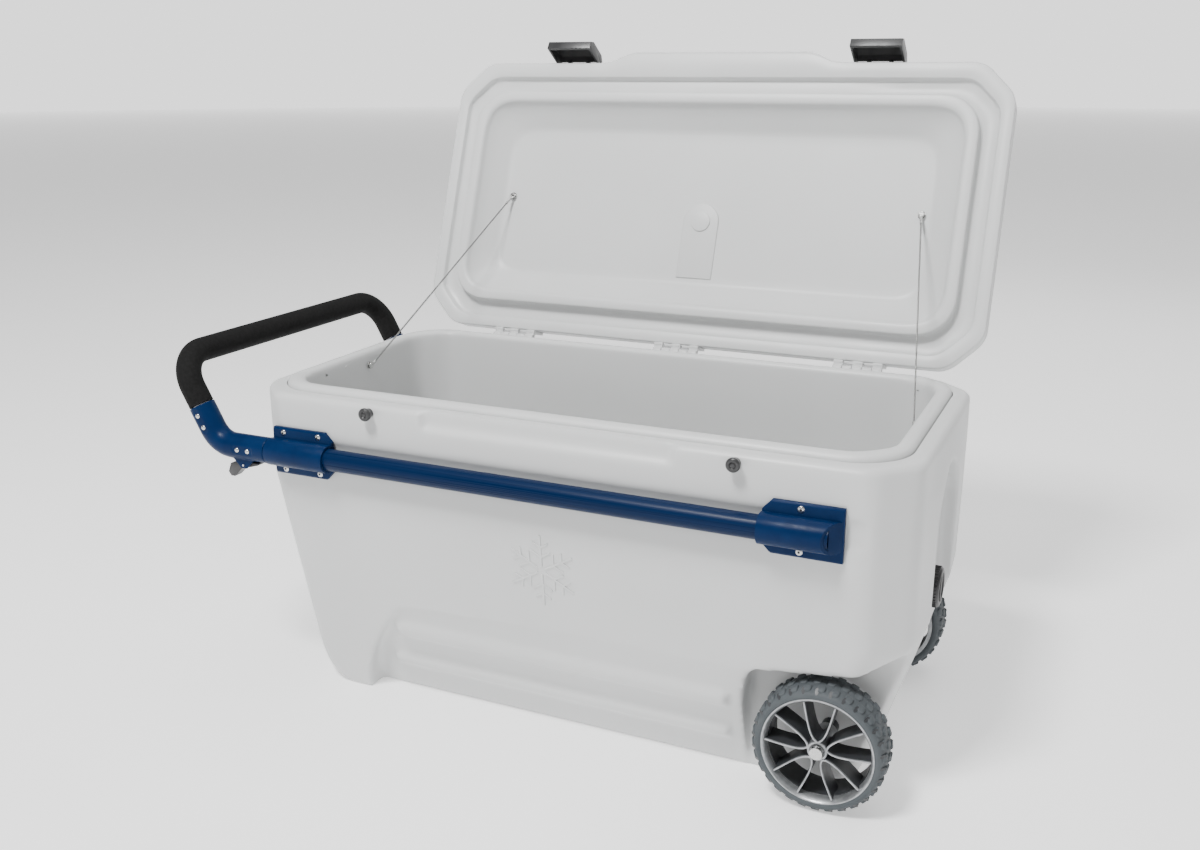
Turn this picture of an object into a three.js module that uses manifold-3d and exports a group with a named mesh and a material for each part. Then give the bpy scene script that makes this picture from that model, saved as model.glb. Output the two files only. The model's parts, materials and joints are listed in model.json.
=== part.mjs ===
// A large wheeled cooler with its lid open: a foam-filled tub and lid, three hinges, two cable stays,
// two snap latches, a telescoping pull handle on two side rails, and two wheels on a through axle.
// Millimetres. +X points to the wheel end, +Y to the hinge side, +Z up.
// The origin is the centre of the tub's length and width, on the floor.
import * as THREE from "three";
import { mergeVertices } from "three/addons/utils/BufferGeometryUtils.js";
import Module from "manifold-3d";

const wasm = await Module();
wasm.setup();

// Clearances
const gap = 0.3; // between pieces that touch
const runningGap = 0.6; // round a shaft or a sliding tube

// Tub
const tubLength = 930;
const tubWidth = 452;
const tubHeight = 451; // the shoulder that the lid rests on
const cornerChamfer = 50;
const cornerSoftness = 16;
const straightWall = 131; // depth of the upright band under the shoulder, before the draft begins
const wallDraft = 0.1156;
const shellWall = 5;
const shoulderWidth = 20; // from the outer edge to the liner's lip
const lipWidth = 22;
const lipHeight = 8.5;
const linerWall = 4;
const linerDraft = 0.04;
const linerLean = 0.2; // how fast the liner narrows near its floor, inside the lower side panels
const linerLeanTop = 200;
const floorThickness = 45;
const shelfRise = 45; // from the wheel pocket's ceiling up to the raised floor over the axle
const shelfLength = 205;
const endSlantHeight = 215; // below this the wheel end leans in
const endSlant = 0.31;
const endBow = 6;

// Panels and recesses of the tub
const panelTop = 152;
const panelRise = 26;
const panelDepth = 37; // how far the lower side panel is set in at the floor
const footLength = 118;
const fingerRecessWidth = 352;
const fingerRecessHeight = 26;
const fingerRecessDepth = 6;
const gripRecessWidth = 150;
const gripRecessDrop = 51; // from the shoulder down to the top of the end recess
const gripRecessDepth = 13;
const gripSlotDrop = 114; // from the shoulder down to the middle of the finger slot
const gripSlotHalfHeight = 15;
const gripSlotHalfWidth = 45;
const gripSlotDepth = 34;

// Lid
const lidThickness = 49;
const lidOverhang = 6; // past the tub's front wall
const linerEdge = 7; // thickness of the lid liner's visible edge
const recessDepth = 31;
const recessSlope = 44; // how far the recess walls lean in
const recessSoftness = 34;
const edgeSoftness = 18;
const plugWidth = 17;
const plugDepth = 7;
const tabWidth = 378;
const tabReach = 20;
const openAngle = 110.4;

// Hinges
const hingeSpacing = 290;
const hingeLength = 74;
const hingeSetBack = 14.2; // the axis behind the back wall
const hingeDrop = 4.5; // the axis below the shoulder
const knuckleRadius = 6;
const hingePinRadius = 2;
const leafThickness = 4;
const leafReach = 34; // of each leaf's plate from the axis
const knuckleGap = 0.4;

// Latches and the knobs that they snap over
const latchSpacing = 256;
const latchWidth = 78;
const latchDepth = 20;
const latchWall = 3;
const latchPinRadius = 2;
const latchPivotReach = 6; // from the lid's face to the pivot
const latchPivotHeight = 17; // above the lid's seam
const latchTop = 5.5; // above the pivot
const latchLip = 5;
const latchLean = 14; // degrees that the open latch stands off its closed place
const knobRadius = 9;
const knobHeight = 14;
const knobDrop = 11;

// Stays
const stayTubY = 10;
const stayTubDrop = 15;
const stayLidSetIn = 117; // from the lid's end to the stay's eye
const stayLidY = -7;
const cableRadius = 1.2;

// Rails, brackets and pull handle
const railWall = 1.7;
const railDrop = 81; // from the shoulder down to the rails
const railChannelMargin = 4;
const railChannelDepth = 3;
const railSink = 1; // how far the rail sits into its channel
const innerTubeRadius = 12.7;
const innerTubeWall = 1.6;
const innerTubeLength = 590;
const bracketLength = 97;
const bracketHeight = 67;
const bracketPlate = 6;
const bracketWall = 4;
const bracketCap = 14; // closed end of the right bracket, past the rail
const leftBracketSetIn = 99; // from the tub's end to the bracket's middle
const rightBracketSetIn = 125;
const elbowWall = 5.3; // outside the tube that it holds
const elbowReach = 39; // from the tub's end to the elbow's bend
const elbowLegAngle = 62;
const elbowLegLength = 60;
const elbowSocket = 44;
const gripRise = 120;
const gripCorner = 48;
const foamThickness = 3.6;
const leverSetIn = 7.5; // from the tub's end to the lever's pin
const leverHang = 5.7; // from the elbow's underside down to the lever's pin
const leverPinRadius = 1.6;

// Wheels
const wheelSetIn = 96; // from the tub's end to the axle
const tyreRadius = 84;
const tyreWidth = 54;
const tyreHeight = 12; // from the rim to the tread
const rimWall = 5;
const hubRadius = 13;
const hubSink = 4;
const axleRadius = 6;
const petals = 5;
const petalHalfAngle = 17;
const petalWall = 2.4;
const petalDepth = 30;
const pocketClearance = 23; // from the tyre forward to the pocket's wall
const pocketDepth = 71; // from the tub's widest face in to the pocket's wall
const browRise = 38; // how much higher the pocket's ceiling is at the wheel end than at its forward end
const spacerRadius = 11;

// Drain
const drainHeight = 228;
const drainRadius = 28;
const drainThickness = 15;
const spoutRadius = 15;
const gasketThickness = 2.5;

// Places that follow from the sizes above
const halfLength = tubLength / 2;
const halfWidth = tubWidth / 2;
const draftTop = tubHeight - straightWall;
const gripRecessTop = tubHeight - gripRecessDrop;
const gripSlotHeight = tubHeight - gripSlotDrop;
const railRadius = innerTubeRadius + runningGap + railWall;
const railHeight = tubHeight - railDrop;
const railY = halfWidth + railRadius - railSink;
const hingeY = halfWidth + hingeSetBack;
const hingeZ = tubHeight - hingeDrop;
const lidBottom = tubHeight + 2 * gap;
const lidSeam = lidBottom + linerEdge;
const lidTop = lidBottom + lidThickness;
const lidFront = -halfWidth - lidOverhang;
const openingInset = shoulderWidth + lipWidth;
const leftBracketX = -halfLength + leftBracketSetIn;
const rightBracketX = halfLength - rightBracketSetIn;
const elbowBendX = -halfLength - elbowReach;
const elbowRadius = innerTubeRadius + gap + elbowWall;
const foamRadius = innerTubeRadius + 2 * runningGap + foamThickness;
const leverX = -halfLength + leverSetIn;
const leverDrop = elbowRadius + leverHang;
const stayLidX = halfLength - stayLidSetIn;
const wheelX = halfLength - wheelSetIn;
const wheelZ = tyreRadius;
const wheelOuterY = halfWidth;
const rimRadius = tyreRadius - tyreHeight;
const pocketReach = tyreRadius + pocketClearance;
const pocketWallY = halfWidth - pocketDepth;
const browHeight = 2 * tyreRadius; // the pocket's ceiling at its forward end
const shelfHeight = browHeight + shelfRise;
const panelLeft = footLength - halfLength + wallDraft * draftTop;

const colours = {
  white: { color: 0xe6e8e8, roughness: 0.42, metalness: 0 },
  foam: { color: 0xe9dfb8, roughness: 0.95, metalness: 0 },
  blue: { color: 0x12408c, roughness: 0.35, metalness: 0.45 },
  black: { color: 0x17181a, roughness: 0.5, metalness: 0 },
  softBlack: { color: 0x1c1c1d, roughness: 0.9, metalness: 0 },
  rim: { color: 0x3d4145, roughness: 0.45, metalness: 0.1 },
  tyre: { color: 0x6d7378, roughness: 0.8, metalness: 0 },
  steel: { color: 0xa9acae, roughness: 0.3, metalness: 0.95 },
};

// ---- Small helpers ----

function solid(geometry) {
  const bare = geometry.clone();
  bare.deleteAttribute("normal");
  bare.deleteAttribute("uv");
  const merged = mergeVertices(bare, 1e-4);
  return new wasm.Manifold(
    new wasm.Mesh({
      numProp: 3,
      vertProperties: new Float32Array(merged.attributes.position.array),
      triVerts: new Uint32Array(merged.index.array),
    }),
  );
}

function geometryOf(made) {
  const mesh = made.getMesh();
  const geometry = new THREE.BufferGeometry();
  geometry.setAttribute("position", new THREE.BufferAttribute(new Float32Array(mesh.vertProperties), 3));
  geometry.setIndex(new THREE.BufferAttribute(new Uint32Array(mesh.triVerts), 1));
  geometry.computeVertexNormals();
  return geometry;
}

function join(first, ...others) {
  return others.reduce((whole, next) => whole.add(next), first);
}

function cut(whole, ...tools) {
  return tools.reduce((rest, tool) => rest.subtract(tool), whole);
}

function box(x0, x1, y0, y1, z0, z1) {
  const made = new THREE.BoxGeometry(x1 - x0, y1 - y0, z1 - z0);
  made.translate((x0 + x1) / 2, (y0 + y1) / 2, (z0 + z1) / 2);
  return solid(made);
}

// A rod of the given radius between two points that differ along one axis.
function rod(radius, from, to, sides = 24) {
  const a = new THREE.Vector3(...from);
  const b = new THREE.Vector3(...to);
  const made = new THREE.CylinderGeometry(radius, radius, a.distanceTo(b), sides);
  const turn = new THREE.Quaternion().setFromUnitVectors(
    new THREE.Vector3(0, 1, 0),
    b.clone().sub(a).normalize(),
  );
  made.applyQuaternion(turn);
  made.translate((a.x + b.x) / 2, (a.y + b.y) / 2, (a.z + b.z) / 2);
  return solid(made);
}

// A rod along X, and one along Y across the tub.
function rodX(radius, x0, x1, y, z, sides) {
  return rod(radius, [x0, y, z], [x1, y, z], sides);
}

function rodY(radius, y0, y1, x, z, sides) {
  return rod(radius, [x, y0, z], [x, y1, z], sides);
}

// A profile of [radius, height] pairs turned about the Y axis through (x, z); side -1 turns it to face -Y.
function turned(profile, x, y, z, side = 1, sides = 32) {
  const points = profile.map(([radius, height]) => new THREE.Vector2(radius, height));
  const made = new THREE.LatheGeometry(points, sides);
  if (side < 0) made.rotateX(Math.PI);
  made.translate(x, y, z);
  return solid(made);
}

// An outline in X and Z, extruded along Y from y0 to y1.
function sidePlate(outline, y0, y1, holes = []) {
  const shape = new THREE.Shape(outline.map(([x, z]) => new THREE.Vector2(x, z)));
  shape.holes = holes;
  const made = new THREE.ExtrudeGeometry(shape, { depth: y1 - y0, bevelEnabled: false, steps: 1 });
  made.rotateX(Math.PI / 2);
  made.translate(0, y1, 0);
  return solid(made);
}

// An outline in Y and Z, extruded along X from x0 to x1.
function endPlate(outline, x0, x1) {
  const shape = new THREE.Shape(outline.map(([y, z]) => new THREE.Vector2(y, z)));
  const made = new THREE.ExtrudeGeometry(shape, { depth: x1 - x0, bevelEnabled: false, steps: 1 });
  made.rotateX(Math.PI / 2);
  made.rotateZ(Math.PI / 2);
  made.translate(x0, 0, 0);
  return solid(made);
}

function circleShape(radius, sides) {
  const shape = new THREE.Shape();
  for (let i = 0; i < sides; i++) {
    const angle = (2 * Math.PI * i) / sides;
    const point = [radius * Math.cos(angle), radius * Math.sin(angle)];
    if (i === 0) shape.moveTo(...point);
    else shape.lineTo(...point);
  }
  shape.closePath();
  return shape;
}

// A path through given points that is sampled at exactly those points.
class Route extends THREE.Curve {
  constructor(points) {
    super();
    this.points = points;
  }
  getPoint(t) {
    return this.points[Math.round(t * (this.points.length - 1))].clone();
  }
  getPointAt(u) {
    return this.getPoint(u);
  }
  getTangentAt(u) {
    const i = Math.round(u * (this.points.length - 1));
    const before = this.points[Math.max(0, i - 1)];
    const after = this.points[Math.min(this.points.length - 1, i + 1)];
    return after.clone().sub(before).normalize();
  }
}

// A round bar through the given points, or a tube if it has a bore.
function swept(points, radius, bore = 0, sides = 16) {
  const section = circleShape(radius, sides);
  if (bore) section.holes = [circleShape(bore, sides)];
  const settings = { extrudePath: new Route(points), steps: points.length - 1, bevelEnabled: false };
  return solid(new THREE.ExtrudeGeometry(section, settings));
}

// The corners of a polygon softened by short curves of three points each.
function softened(corners, softness) {
  const points = [];
  corners.forEach((corner, i) => {
    const before = corners[(i + corners.length - 1) % corners.length];
    const after = corners[(i + 1) % corners.length];
    const reach = (other) => Math.min(softness, corner.distanceTo(other) / 2.2);
    const start = corner.clone().lerp(before, reach(before) / corner.distanceTo(before));
    const end = corner.clone().lerp(after, reach(after) / corner.distanceTo(after));
    points.push(...new THREE.QuadraticBezierCurve(start, corner, end).getPoints(3));
  });
  return points;
}

// The tub's plan: a long octagon, with its wheel end bowed out in the middle.
function plan({ left, right, front, back, chamfer = cornerChamfer, softness = cornerSoftness, bow = 0 }) {
  const bowEdge = (back - front) / 2 - chamfer - 100;
  const middle = (front + back) / 2;
  const end = bow
    ? [
        [right + bow, middle - bowEdge],
        [right + bow, middle + bowEdge],
      ]
    : [];
  const corners = [
    [left + chamfer, front],
    [right - chamfer, front],
    [right, front + chamfer],
    ...end,
    [right, back - chamfer],
    [right - chamfer, back],
    [left + chamfer, back],
    [left, back - chamfer],
    [left, front + chamfer],
  ].map(([x, y]) => new THREE.Vector2(x, y));
  return softened(corners, softness);
}

// A closed solid through rings of equally many points, each ring level at its own height.
function loft(rings) {
  const count = rings[0].points.length;
  const positions = rings.flatMap(({ z, points }) => points.flatMap((p) => [p.x, p.y, z]));
  const index = [];
  for (let r = 0; r + 1 < rings.length; r++) {
    for (let i = 0; i < count; i++) {
      const a = r * count + i;
      const b = r * count + ((i + 1) % count);
      index.push(a, b, b + count, a, b + count, a + count);
    }
  }
  const cap = (ring, start, up) =>
    THREE.ShapeUtils.triangulateShape(ring.points, []).forEach(([a, b, c]) =>
      index.push(start + a, start + (up ? b : c), start + (up ? c : b)),
    );
  cap(rings[0], 0, false);
  cap(rings[rings.length - 1], (rings.length - 1) * count, true);
  const geometry = new THREE.BufferGeometry();
  geometry.setAttribute("position", new THREE.Float32BufferAttribute(positions, 3));
  geometry.setIndex(index);
  return solid(geometry);
}

// A level-sided block over a softened rectangle that is inset from the lid's or tub's outline.
function insetBlock(inset, z0, z1, { front = -halfWidth, lean = 0, softness = 30 } = {}) {
  const ring = (extra) =>
    plan({
      left: -halfLength + inset + extra,
      right: halfLength - inset - extra,
      front: front + inset + extra,
      back: halfWidth - inset - extra,
      chamfer: Math.max(cornerChamfer - (inset + extra) * 0.35, 24),
      softness,
    });
  return loft([
    { z: z0, points: ring(0) },
    { z: z1, points: ring(lean) },
  ]);
}

const parts = new THREE.Group();
parts.name = "cooler_on_wheels";
const lidGroup = new THREE.Group();
lidGroup.position.set(0, hingeY, hingeZ);
lidGroup.rotation.x = THREE.MathUtils.degToRad(-openAngle);
parts.add(lidGroup);

function add(name, made, finish, group = parts) {
  const mesh = new THREE.Mesh(geometryOf(made), new THREE.MeshStandardMaterial(colours[finish]));
  mesh.name = name;
  group.add(mesh);
}

// A lid piece is drawn with the lid closed, and moved so that its hinge axis is the group's origin.
function addToLid(name, made, finish) {
  add(name, made.translate([0, -hingeY, -hingeZ]), finish, lidGroup);
}

// ---- Tub ----

// The tub's outside, shrunk by an inset, between two heights.
function tubForm(inset, bottom, top) {
  const section = (z, edge) => {
    const draft = wallDraft * Math.max(0, draftTop - z);
    const slant = Math.max(0, endSlantHeight - z) * endSlant;
    const heel = z < floorThickness ? (floorThickness - z) ** 2 / 90 : 0;
    const bow = endBow * Math.min(1, Math.max(0.02, (tubHeight - z) / 60));
    return {
      z,
      points: plan({
        left: -halfLength + draft + heel + inset + edge,
        right: halfLength - slant - inset - edge,
        front: -halfWidth + draft + inset + edge,
        back: halfWidth - draft - inset - edge,
        chamfer: cornerChamfer - (inset + edge) * 0.4,
        bow,
      }),
    };
  };
  const levels = [bottom, 12, 28, 48, endSlantHeight, draftTop, tubHeight - 60, top - 9, top - 3, top];
  const edges = [4, 0, 0, 0, 0, 0, 0, 0, 2, 8];
  return loft(levels.map((z, i) => section(z, edges[i])));
}

// The outline of a wheel pocket seen from the side: a curved front wall under a rising brow.
function pocketOutline(extra) {
  const left = wheelX - pocketReach - extra;
  return [
    [left, -10],
    [left, wheelZ + 15],
    [left + 4, browHeight + extra - 32],
    [left + 9, browHeight + extra - 12],
    [left + 19, browHeight + extra],
    [wheelX + 42, browHeight + extra + browRise * 0.42],
    [halfLength - 8, browHeight + extra + browRise],
    [halfLength + 60, browHeight + extra + browRise * 1.9],
    [halfLength + 60, -10],
  ];
}

// Everything that is let into the tub's sides, grown by a wall thickness where the hollow must miss it.
function sideCuts(extra) {
  const tools = [];
  for (const side of [-1, 1]) {
    const near = pocketWallY - extra;
    const far = halfWidth + 60;
    const [y0, y1] = side < 0 ? [-far, -near] : [near, far];
    tools.push(sidePlate(pocketOutline(extra), y0, y1));
    tools.push(lowerPanel(side, extra));
  }
  return tools;
}

// The lower side panel: a sloping face set in behind the wall, from the foot to the wheel pocket.
function lowerPanel(side, extra) {
  const wallAt = (z) => halfWidth - wallDraft * (draftTop - z);
  const end = wheelX - tyreRadius;
  const top = [panelTop + extra, panelTop + panelRise + extra];
  const deep = wallAt(0) - panelDepth - extra;
  const ring = (z, y, left) => [
    [left, side * y],
    [end, side * y],
    [end, side * (halfWidth + 60)],
    [left, side * (halfWidth + 60)],
  ];
  const bottom = ring(-10, deep, panelLeft - extra);
  const rim = ring(top[0], wallAt(panelTop) - 3 - extra, panelLeft + 74 - extra);
  const vertices = [
    ...bottom.map(([x, y]) => [x, y, -10]),
    ...rim.map(([x, y], i) => [x, y, top[i === 1 || i === 2 ? 1 : 0]]),
  ];
  const geometry = new THREE.BufferGeometry();
  geometry.setAttribute("position", new THREE.Float32BufferAttribute(vertices.flat(), 3));
  const faces = [
    [0, 2, 1], [0, 3, 2], [4, 5, 6], [4, 6, 7], [0, 1, 5], [0, 5, 4],
    [1, 2, 6], [1, 6, 5], [2, 3, 7], [2, 7, 6], [3, 0, 4], [3, 4, 7],
  ];
  geometry.setIndex(faces.flatMap(([a, b, c]) => (side > 0 ? [a, b, c] : [a, c, b])));
  return solid(geometry);
}

// A rib that stands off the lower panel, with a sloping top.
function panelRib(side, z, height) {
  const faceAt = (level) => {
    const wall = halfWidth - wallDraft * draftTop - panelDepth;
    const slope = (halfWidth - wallDraft * (draftTop - panelTop) - 3 - wall) / (panelTop + 10);
    return wall + slope * (level + 10);
  };
  const proud = 7;
  const outline = [
    [side * (faceAt(z) - 3), z],
    [side * (faceAt(z) + proud), z],
    [side * (faceAt(z + height * 0.6) + proud), z + height * 0.6],
    [side * (faceAt(z + height) - 3), z + height],
  ];
  const left = panelLeft + 22 + z * 0.3;
  return endPlate(side > 0 ? outline : outline.reverse(), left, wheelX - pocketReach - 18);
}

function gripSlot(extra) {
  const low = gripSlotHeight - gripSlotHalfHeight - extra;
  const high = gripSlotHeight + gripSlotHalfHeight + extra;
  const half = gripSlotHalfWidth + extra;
  return box(halfLength - gripSlotDepth - extra, halfLength + 30, -half, half, low, high);
}

function gripRecess(extra) {
  const half = gripRecessWidth / 2 + extra;
  const outline = [
    [-half, endSlantHeight - 60],
    [half, endSlantHeight - 60],
    [half, gripRecessTop - half + extra],
  ];
  for (let angle = 20; angle <= 160; angle += 20) {
    const turn = THREE.MathUtils.degToRad(angle);
    outline.push([half * Math.cos(turn), gripRecessTop - half + extra + half * Math.sin(turn)]);
  }
  outline.push([-half, gripRecessTop - half + extra]);
  return endPlate(outline, halfLength - gripRecessDepth - extra, halfLength + 60);
}

// The hollow between shell and liner that the foam fills.
function tubHollow(inset) {
  const room = loft(
    [
      [shellWall + inset, 14],
      [48, 6],
      [endSlantHeight, 0],
      [draftTop, 0],
      [tubHeight - shellWall - inset, 0],
    ].map(([z, edge]) => ({
      z,
      points: plan({
        left: -halfLength + wallDraft * Math.max(0, draftTop - z) + shellWall + inset + edge,
        right: halfLength - Math.max(0, endSlantHeight - z) * endSlant - shellWall - inset - edge / 3,
        front: -halfWidth + wallDraft * Math.max(0, draftTop - z) + shellWall + inset + edge / 3,
        back: halfWidth - wallDraft * Math.max(0, draftTop - z) - shellWall - inset - edge / 3,
        chamfer: cornerChamfer - 2,
      }),
    })),
  );
  const extra = shellWall + inset;
  const channel = railChannels(extra);
  return cut(room, ...sideCuts(extra), gripSlot(extra), gripRecess(extra), fingerRecess(extra), ...channel);
}

function railChannels(extra) {
  const half = railRadius + railChannelMargin + extra;
  return [-1, 1].map((side) => {
    const near = side * (halfWidth - railChannelDepth - extra);
    const far = side * (halfWidth + 40);
    const reach = halfLength - cornerChamfer - 2;
    return box(-reach, reach, Math.min(near, far), Math.max(near, far), railHeight - half, railHeight + half);
  });
}

function fingerRecess(extra) {
  const half = fingerRecessWidth / 2 + extra;
  const bottom = tubHeight - fingerRecessHeight - extra;
  const outline = [
    [-half, bottom],
    [half, bottom],
    [half + 10, tubHeight + 20],
    [-half - 10, tubHeight + 20],
  ];
  return sidePlate(outline, -halfWidth - 60, -halfWidth + fingerRecessDepth + extra);
}

// The liner's room grown by a distance: a tub with a raised shelf over the axle.
function linerForm(grow, top) {
  const rimInset = openingInset - grow;
  const section = (z, edge) => {
    const draft = linerDraft * (tubHeight - z) + linerLean * Math.max(0, linerLeanTop - z) + edge;
    return {
      z,
      points: plan({
        left: -halfLength + rimInset + draft * 1.6,
        right: halfLength - rimInset - draft,
        front: -halfWidth + rimInset + draft,
        back: halfWidth - rimInset - draft,
        chamfer: 38 + grow,
        softness: 24,
      }),
    };
  };
  const low = floorThickness - grow;
  const levels = [section(low, 12), section(low + 12, 3), section(low + 30, 0)];
  const shape = loft([...levels, section(linerLeanTop, 0), section(tubHeight, 0), section(top, -0.4)]);
  const shelfStart = halfLength - openingInset - shelfLength + grow;
  const shelfTop = shelfHeight - grow;
  const outline = [
    [shelfStart - 26, low - 20],
    [halfLength + 20, low - 20],
    [halfLength + 20, shelfTop],
    [shelfStart + 12, shelfTop],
    [shelfStart, shelfTop - 8],
  ];
  return cut(shape, sidePlate(outline, -halfWidth, halfWidth));
}

function makeTub() {
  const axleHole = rodY(axleRadius + runningGap, -halfWidth, halfWidth, wheelX, wheelZ);
  const drainHole = rodX(spoutRadius + gap, halfLength - 90, halfLength + 20, 0, drainHeight);
  const ribs = [-1, 1].flatMap((side) => [panelRib(side, 98, 30), panelRib(side, 44, 26)]);
  const outside = cut(
    tubForm(0, 0, tubHeight),
    ...sideCuts(0),
    gripSlot(0),
    gripRecess(0),
    fingerRecess(0),
    ...railChannels(0),
  );
  const mouth = insetBlock(shoulderWidth, tubHeight - 20, tubHeight + 20);
  const shell = cut(join(outside, ...ribs), tubHollow(0), mouth, axleHole, drainHole);
  add("tub_shell", shell, "white");

  const lipBottom = tubHeight - shellWall - 2;
  const lipInset = shoulderWidth + gap;
  const lip = cut(
    insetBlock(lipInset, lipBottom, tubHeight + lipHeight, { lean: 1.5 }),
    insetBlock(lipInset + linerWall, lipBottom - 5, tubHeight + lipHeight - linerWall),
  );
  const wall = linerForm(linerWall, tubHeight + lipHeight - 1);
  const room = linerForm(0, tubHeight + lipHeight + 5);
  add("tub_liner", cut(join(wall, lip), room, drainHole), "white");

  const linerRoom = join(
    linerForm(linerWall + 2 * gap, tubHeight + 1),
    insetBlock(shoulderWidth - 1, lipBottom - gap, tubHeight + 20),
  );
  add("tub_foam", cut(tubHollow(gap), linerRoom, axleHole, drainHole), "foam");
}

// ---- Lid, drawn closed ----

function lidTab(grow, z0, z1) {
  const half = tabWidth / 2 - grow;
  const outline = [
    [-half, lidFront + 12],
    [half, lidFront + 12],
    [half, lidFront],
    [half - 32, lidFront - tabReach + grow],
    [-half + 32, lidFront - tabReach + grow],
    [-half, lidFront],
  ].map(([x, y]) => new THREE.Vector2(x, y));
  const made = new THREE.ExtrudeGeometry(new THREE.Shape(softened(corners(outline), 10)), {
    depth: z1 - z0,
    bevelEnabled: false,
    steps: 1,
  });
  made.translate(0, 0, z0);
  return solid(made);
}

function corners(points) {
  return THREE.ShapeUtils.isClockWise(points) ? [...points].reverse() : points;
}

function makeLid() {
  const front = lidFront;
  const grooveOut = shoulderWidth - 1.2;
  const plugOut = openingInset + 3;
  const plugIn = plugOut + plugWidth;
  const grooveTop = tubHeight + lipHeight + 2;
  const skin = linerWall;
  const tubFront = { front: -halfWidth };

  const slab = insetBlock(0, lidBottom, lidSeam, { front, softness: edgeSoftness });
  const edge = join(slab, lidTab(4, lidBottom, lidSeam));
  const grooveHousing = insetBlock(grooveOut - skin, lidBottom, grooveTop + skin, tubFront);
  const bowl = { lean: recessSlope, softness: recessSoftness };
  const dome = insetBlock(plugIn - skin, lidBottom, lidBottom + recessDepth + skin, bowl);
  const plug = insetBlock(plugOut, tubHeight - plugDepth, lidBottom + 2, tubFront);
  const groove = cut(
    insetBlock(grooveOut, lidBottom - 10, grooveTop, tubFront),
    insetBlock(plugOut, lidBottom - 20, grooveTop + 5, tubFront),
  );
  const recess = insetBlock(plugIn, lidBottom - 0.01, lidBottom + recessDepth, bowl);
  const mouthForm = { softness: recessSoftness };
  const recessMouth = insetBlock(plugIn, tubHeight - plugDepth - 5, lidBottom + 0.5, mouthForm);
  const liner = cut(join(edge, grooveHousing, dome, plug), groove, recess, recessMouth);
  addToLid("lid_liner", liner, "white");

  const crown = loft(
    [
      [lidSeam + gap, 0],
      [lidTop - 14, 0],
      [lidTop - 4, 3],
      [lidTop, 11],
    ].map(([z, lean]) => ({
      z,
      points: plan({
        left: -halfLength + lean,
        right: halfLength - lean,
        front: front + lean,
        back: halfWidth - lean,
        chamfer: cornerChamfer - lean * 0.4,
        softness: edgeSoftness,
      }),
    })),
  );
  const cavity = { front, lean: 2, softness: edgeSoftness };
  const hollow = (inset) =>
    insetBlock(shellWall + inset, lidSeam + gap - 1, lidTop - shellWall - inset, cavity);
  const shell = cut(join(crown, lidTab(0, lidSeam + gap, lidSeam + 12)), hollow(0));
  addToLid("lid_shell", shell, "white");

  const under = join(
    insetBlock(0, lidBottom, lidSeam + gap, { front: front - 5, softness: edgeSoftness }),
    insetBlock(grooveOut - skin - gap, lidBottom, grooveTop + skin + gap, tubFront),
    insetBlock(plugIn - skin - 2 * gap, lidBottom, lidBottom + recessDepth + skin + gap, bowl),
  );
  addToLid("lid_foam", cut(hollow(gap), under), "foam");
}

// ---- Hinges ----

function makeHinges() {
  const segment = hingeLength / 5;
  const wallY = halfWidth + gap;
  for (const [index, x] of [-hingeSpacing, 0, hingeSpacing].entries()) {
    const number = index + 1;
    const start = x - hingeLength / 2;
    const end = start + hingeLength;
    const from = (i) => start + i * segment + knuckleGap;
    const to = (i) => start + (i + 1) * segment - knuckleGap;
    const plate = (x0, x1, z0, z1) => box(x0, x1, wallY, wallY + leafThickness, z0, z1);
    const knuckle = (i) => rodX(knuckleRadius, from(i), to(i), hingeY, hingeZ, 16);
    const lower = (i) => [
      knuckle(i),
      box(from(i), to(i), wallY, hingeY, hingeZ - knuckleRadius, hingeZ - 0.5),
      plate(from(i), to(i), hingeZ - 10, hingeZ),
    ];
    const upper = (i) => [
      knuckle(i),
      box(from(i), to(i), wallY, hingeY, hingeZ + 0.5, hingeZ + knuckleRadius),
      plate(from(i), to(i), hingeZ, hingeZ + 10),
    ];
    const bore = rodX(hingePinRadius + gap, start - 5, end + 5, hingeY, hingeZ, 12);
    const tubPlate = plate(start, end, hingeZ - leafReach, hingeZ - knuckleRadius - 1);
    const lidPlate = plate(start, end, hingeZ + knuckleRadius + 1, hingeZ + leafReach);
    const tubLeaf = join(tubPlate, ...lower(1), ...lower(3));
    const lidLeaf = join(lidPlate, ...upper(0), ...upper(2), ...upper(4));
    add("hinge_leaf_tub_" + number, cut(tubLeaf, bore), "white");
    addToLid("hinge_leaf_lid_" + number, cut(lidLeaf, bore), "white");
    add("hinge_pin_" + number, rodX(hingePinRadius, start - 1, end + 1, hingeY, hingeZ, 12), "steel");
  }
}

// ---- Latches and catch knobs ----

function makeLatches() {
  const pivotY = lidFront - gap - latchPivotReach;
  const pivotZ = lidSeam + latchPivotHeight;
  const knobZ = tubHeight - knobDrop;
  for (const [side, sign] of [["left", -1], ["right", 1]]) {
    const x = sign * latchSpacing;
    add("catch_knob_" + side, turned(knobProfile, x, -halfWidth - gap, knobZ, -1, 24), "black");
    addToLid("latch_mount_" + side, latchMount(x, pivotY, pivotZ), "black");
    const half = latchWidth / 2;
    const pin = rodX(latchPinRadius, x - half + 1, x + half - 1, pivotY, pivotZ, 10);
    addToLid("latch_pin_" + side, pin, "steel");
    const latch = latchBody(x, pivotY, pivotZ, knobZ - knobRadius - 2 * gap);
    const swung = latch
      .translate([0, -pivotY, -pivotZ])
      .rotate([-latchLean, 0, 0])
      .translate([0, pivotY, pivotZ]);
    addToLid("latch_" + side, swung, "black");
  }
}

const knobProfile = [
  [0, 0],
  [knobRadius - 3, 0],
  [knobRadius - 3, knobHeight - 8],
  [knobRadius, knobHeight - 6],
  [knobRadius, knobHeight - 2],
  [knobRadius - 2, knobHeight],
  [0, knobHeight],
];

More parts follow.
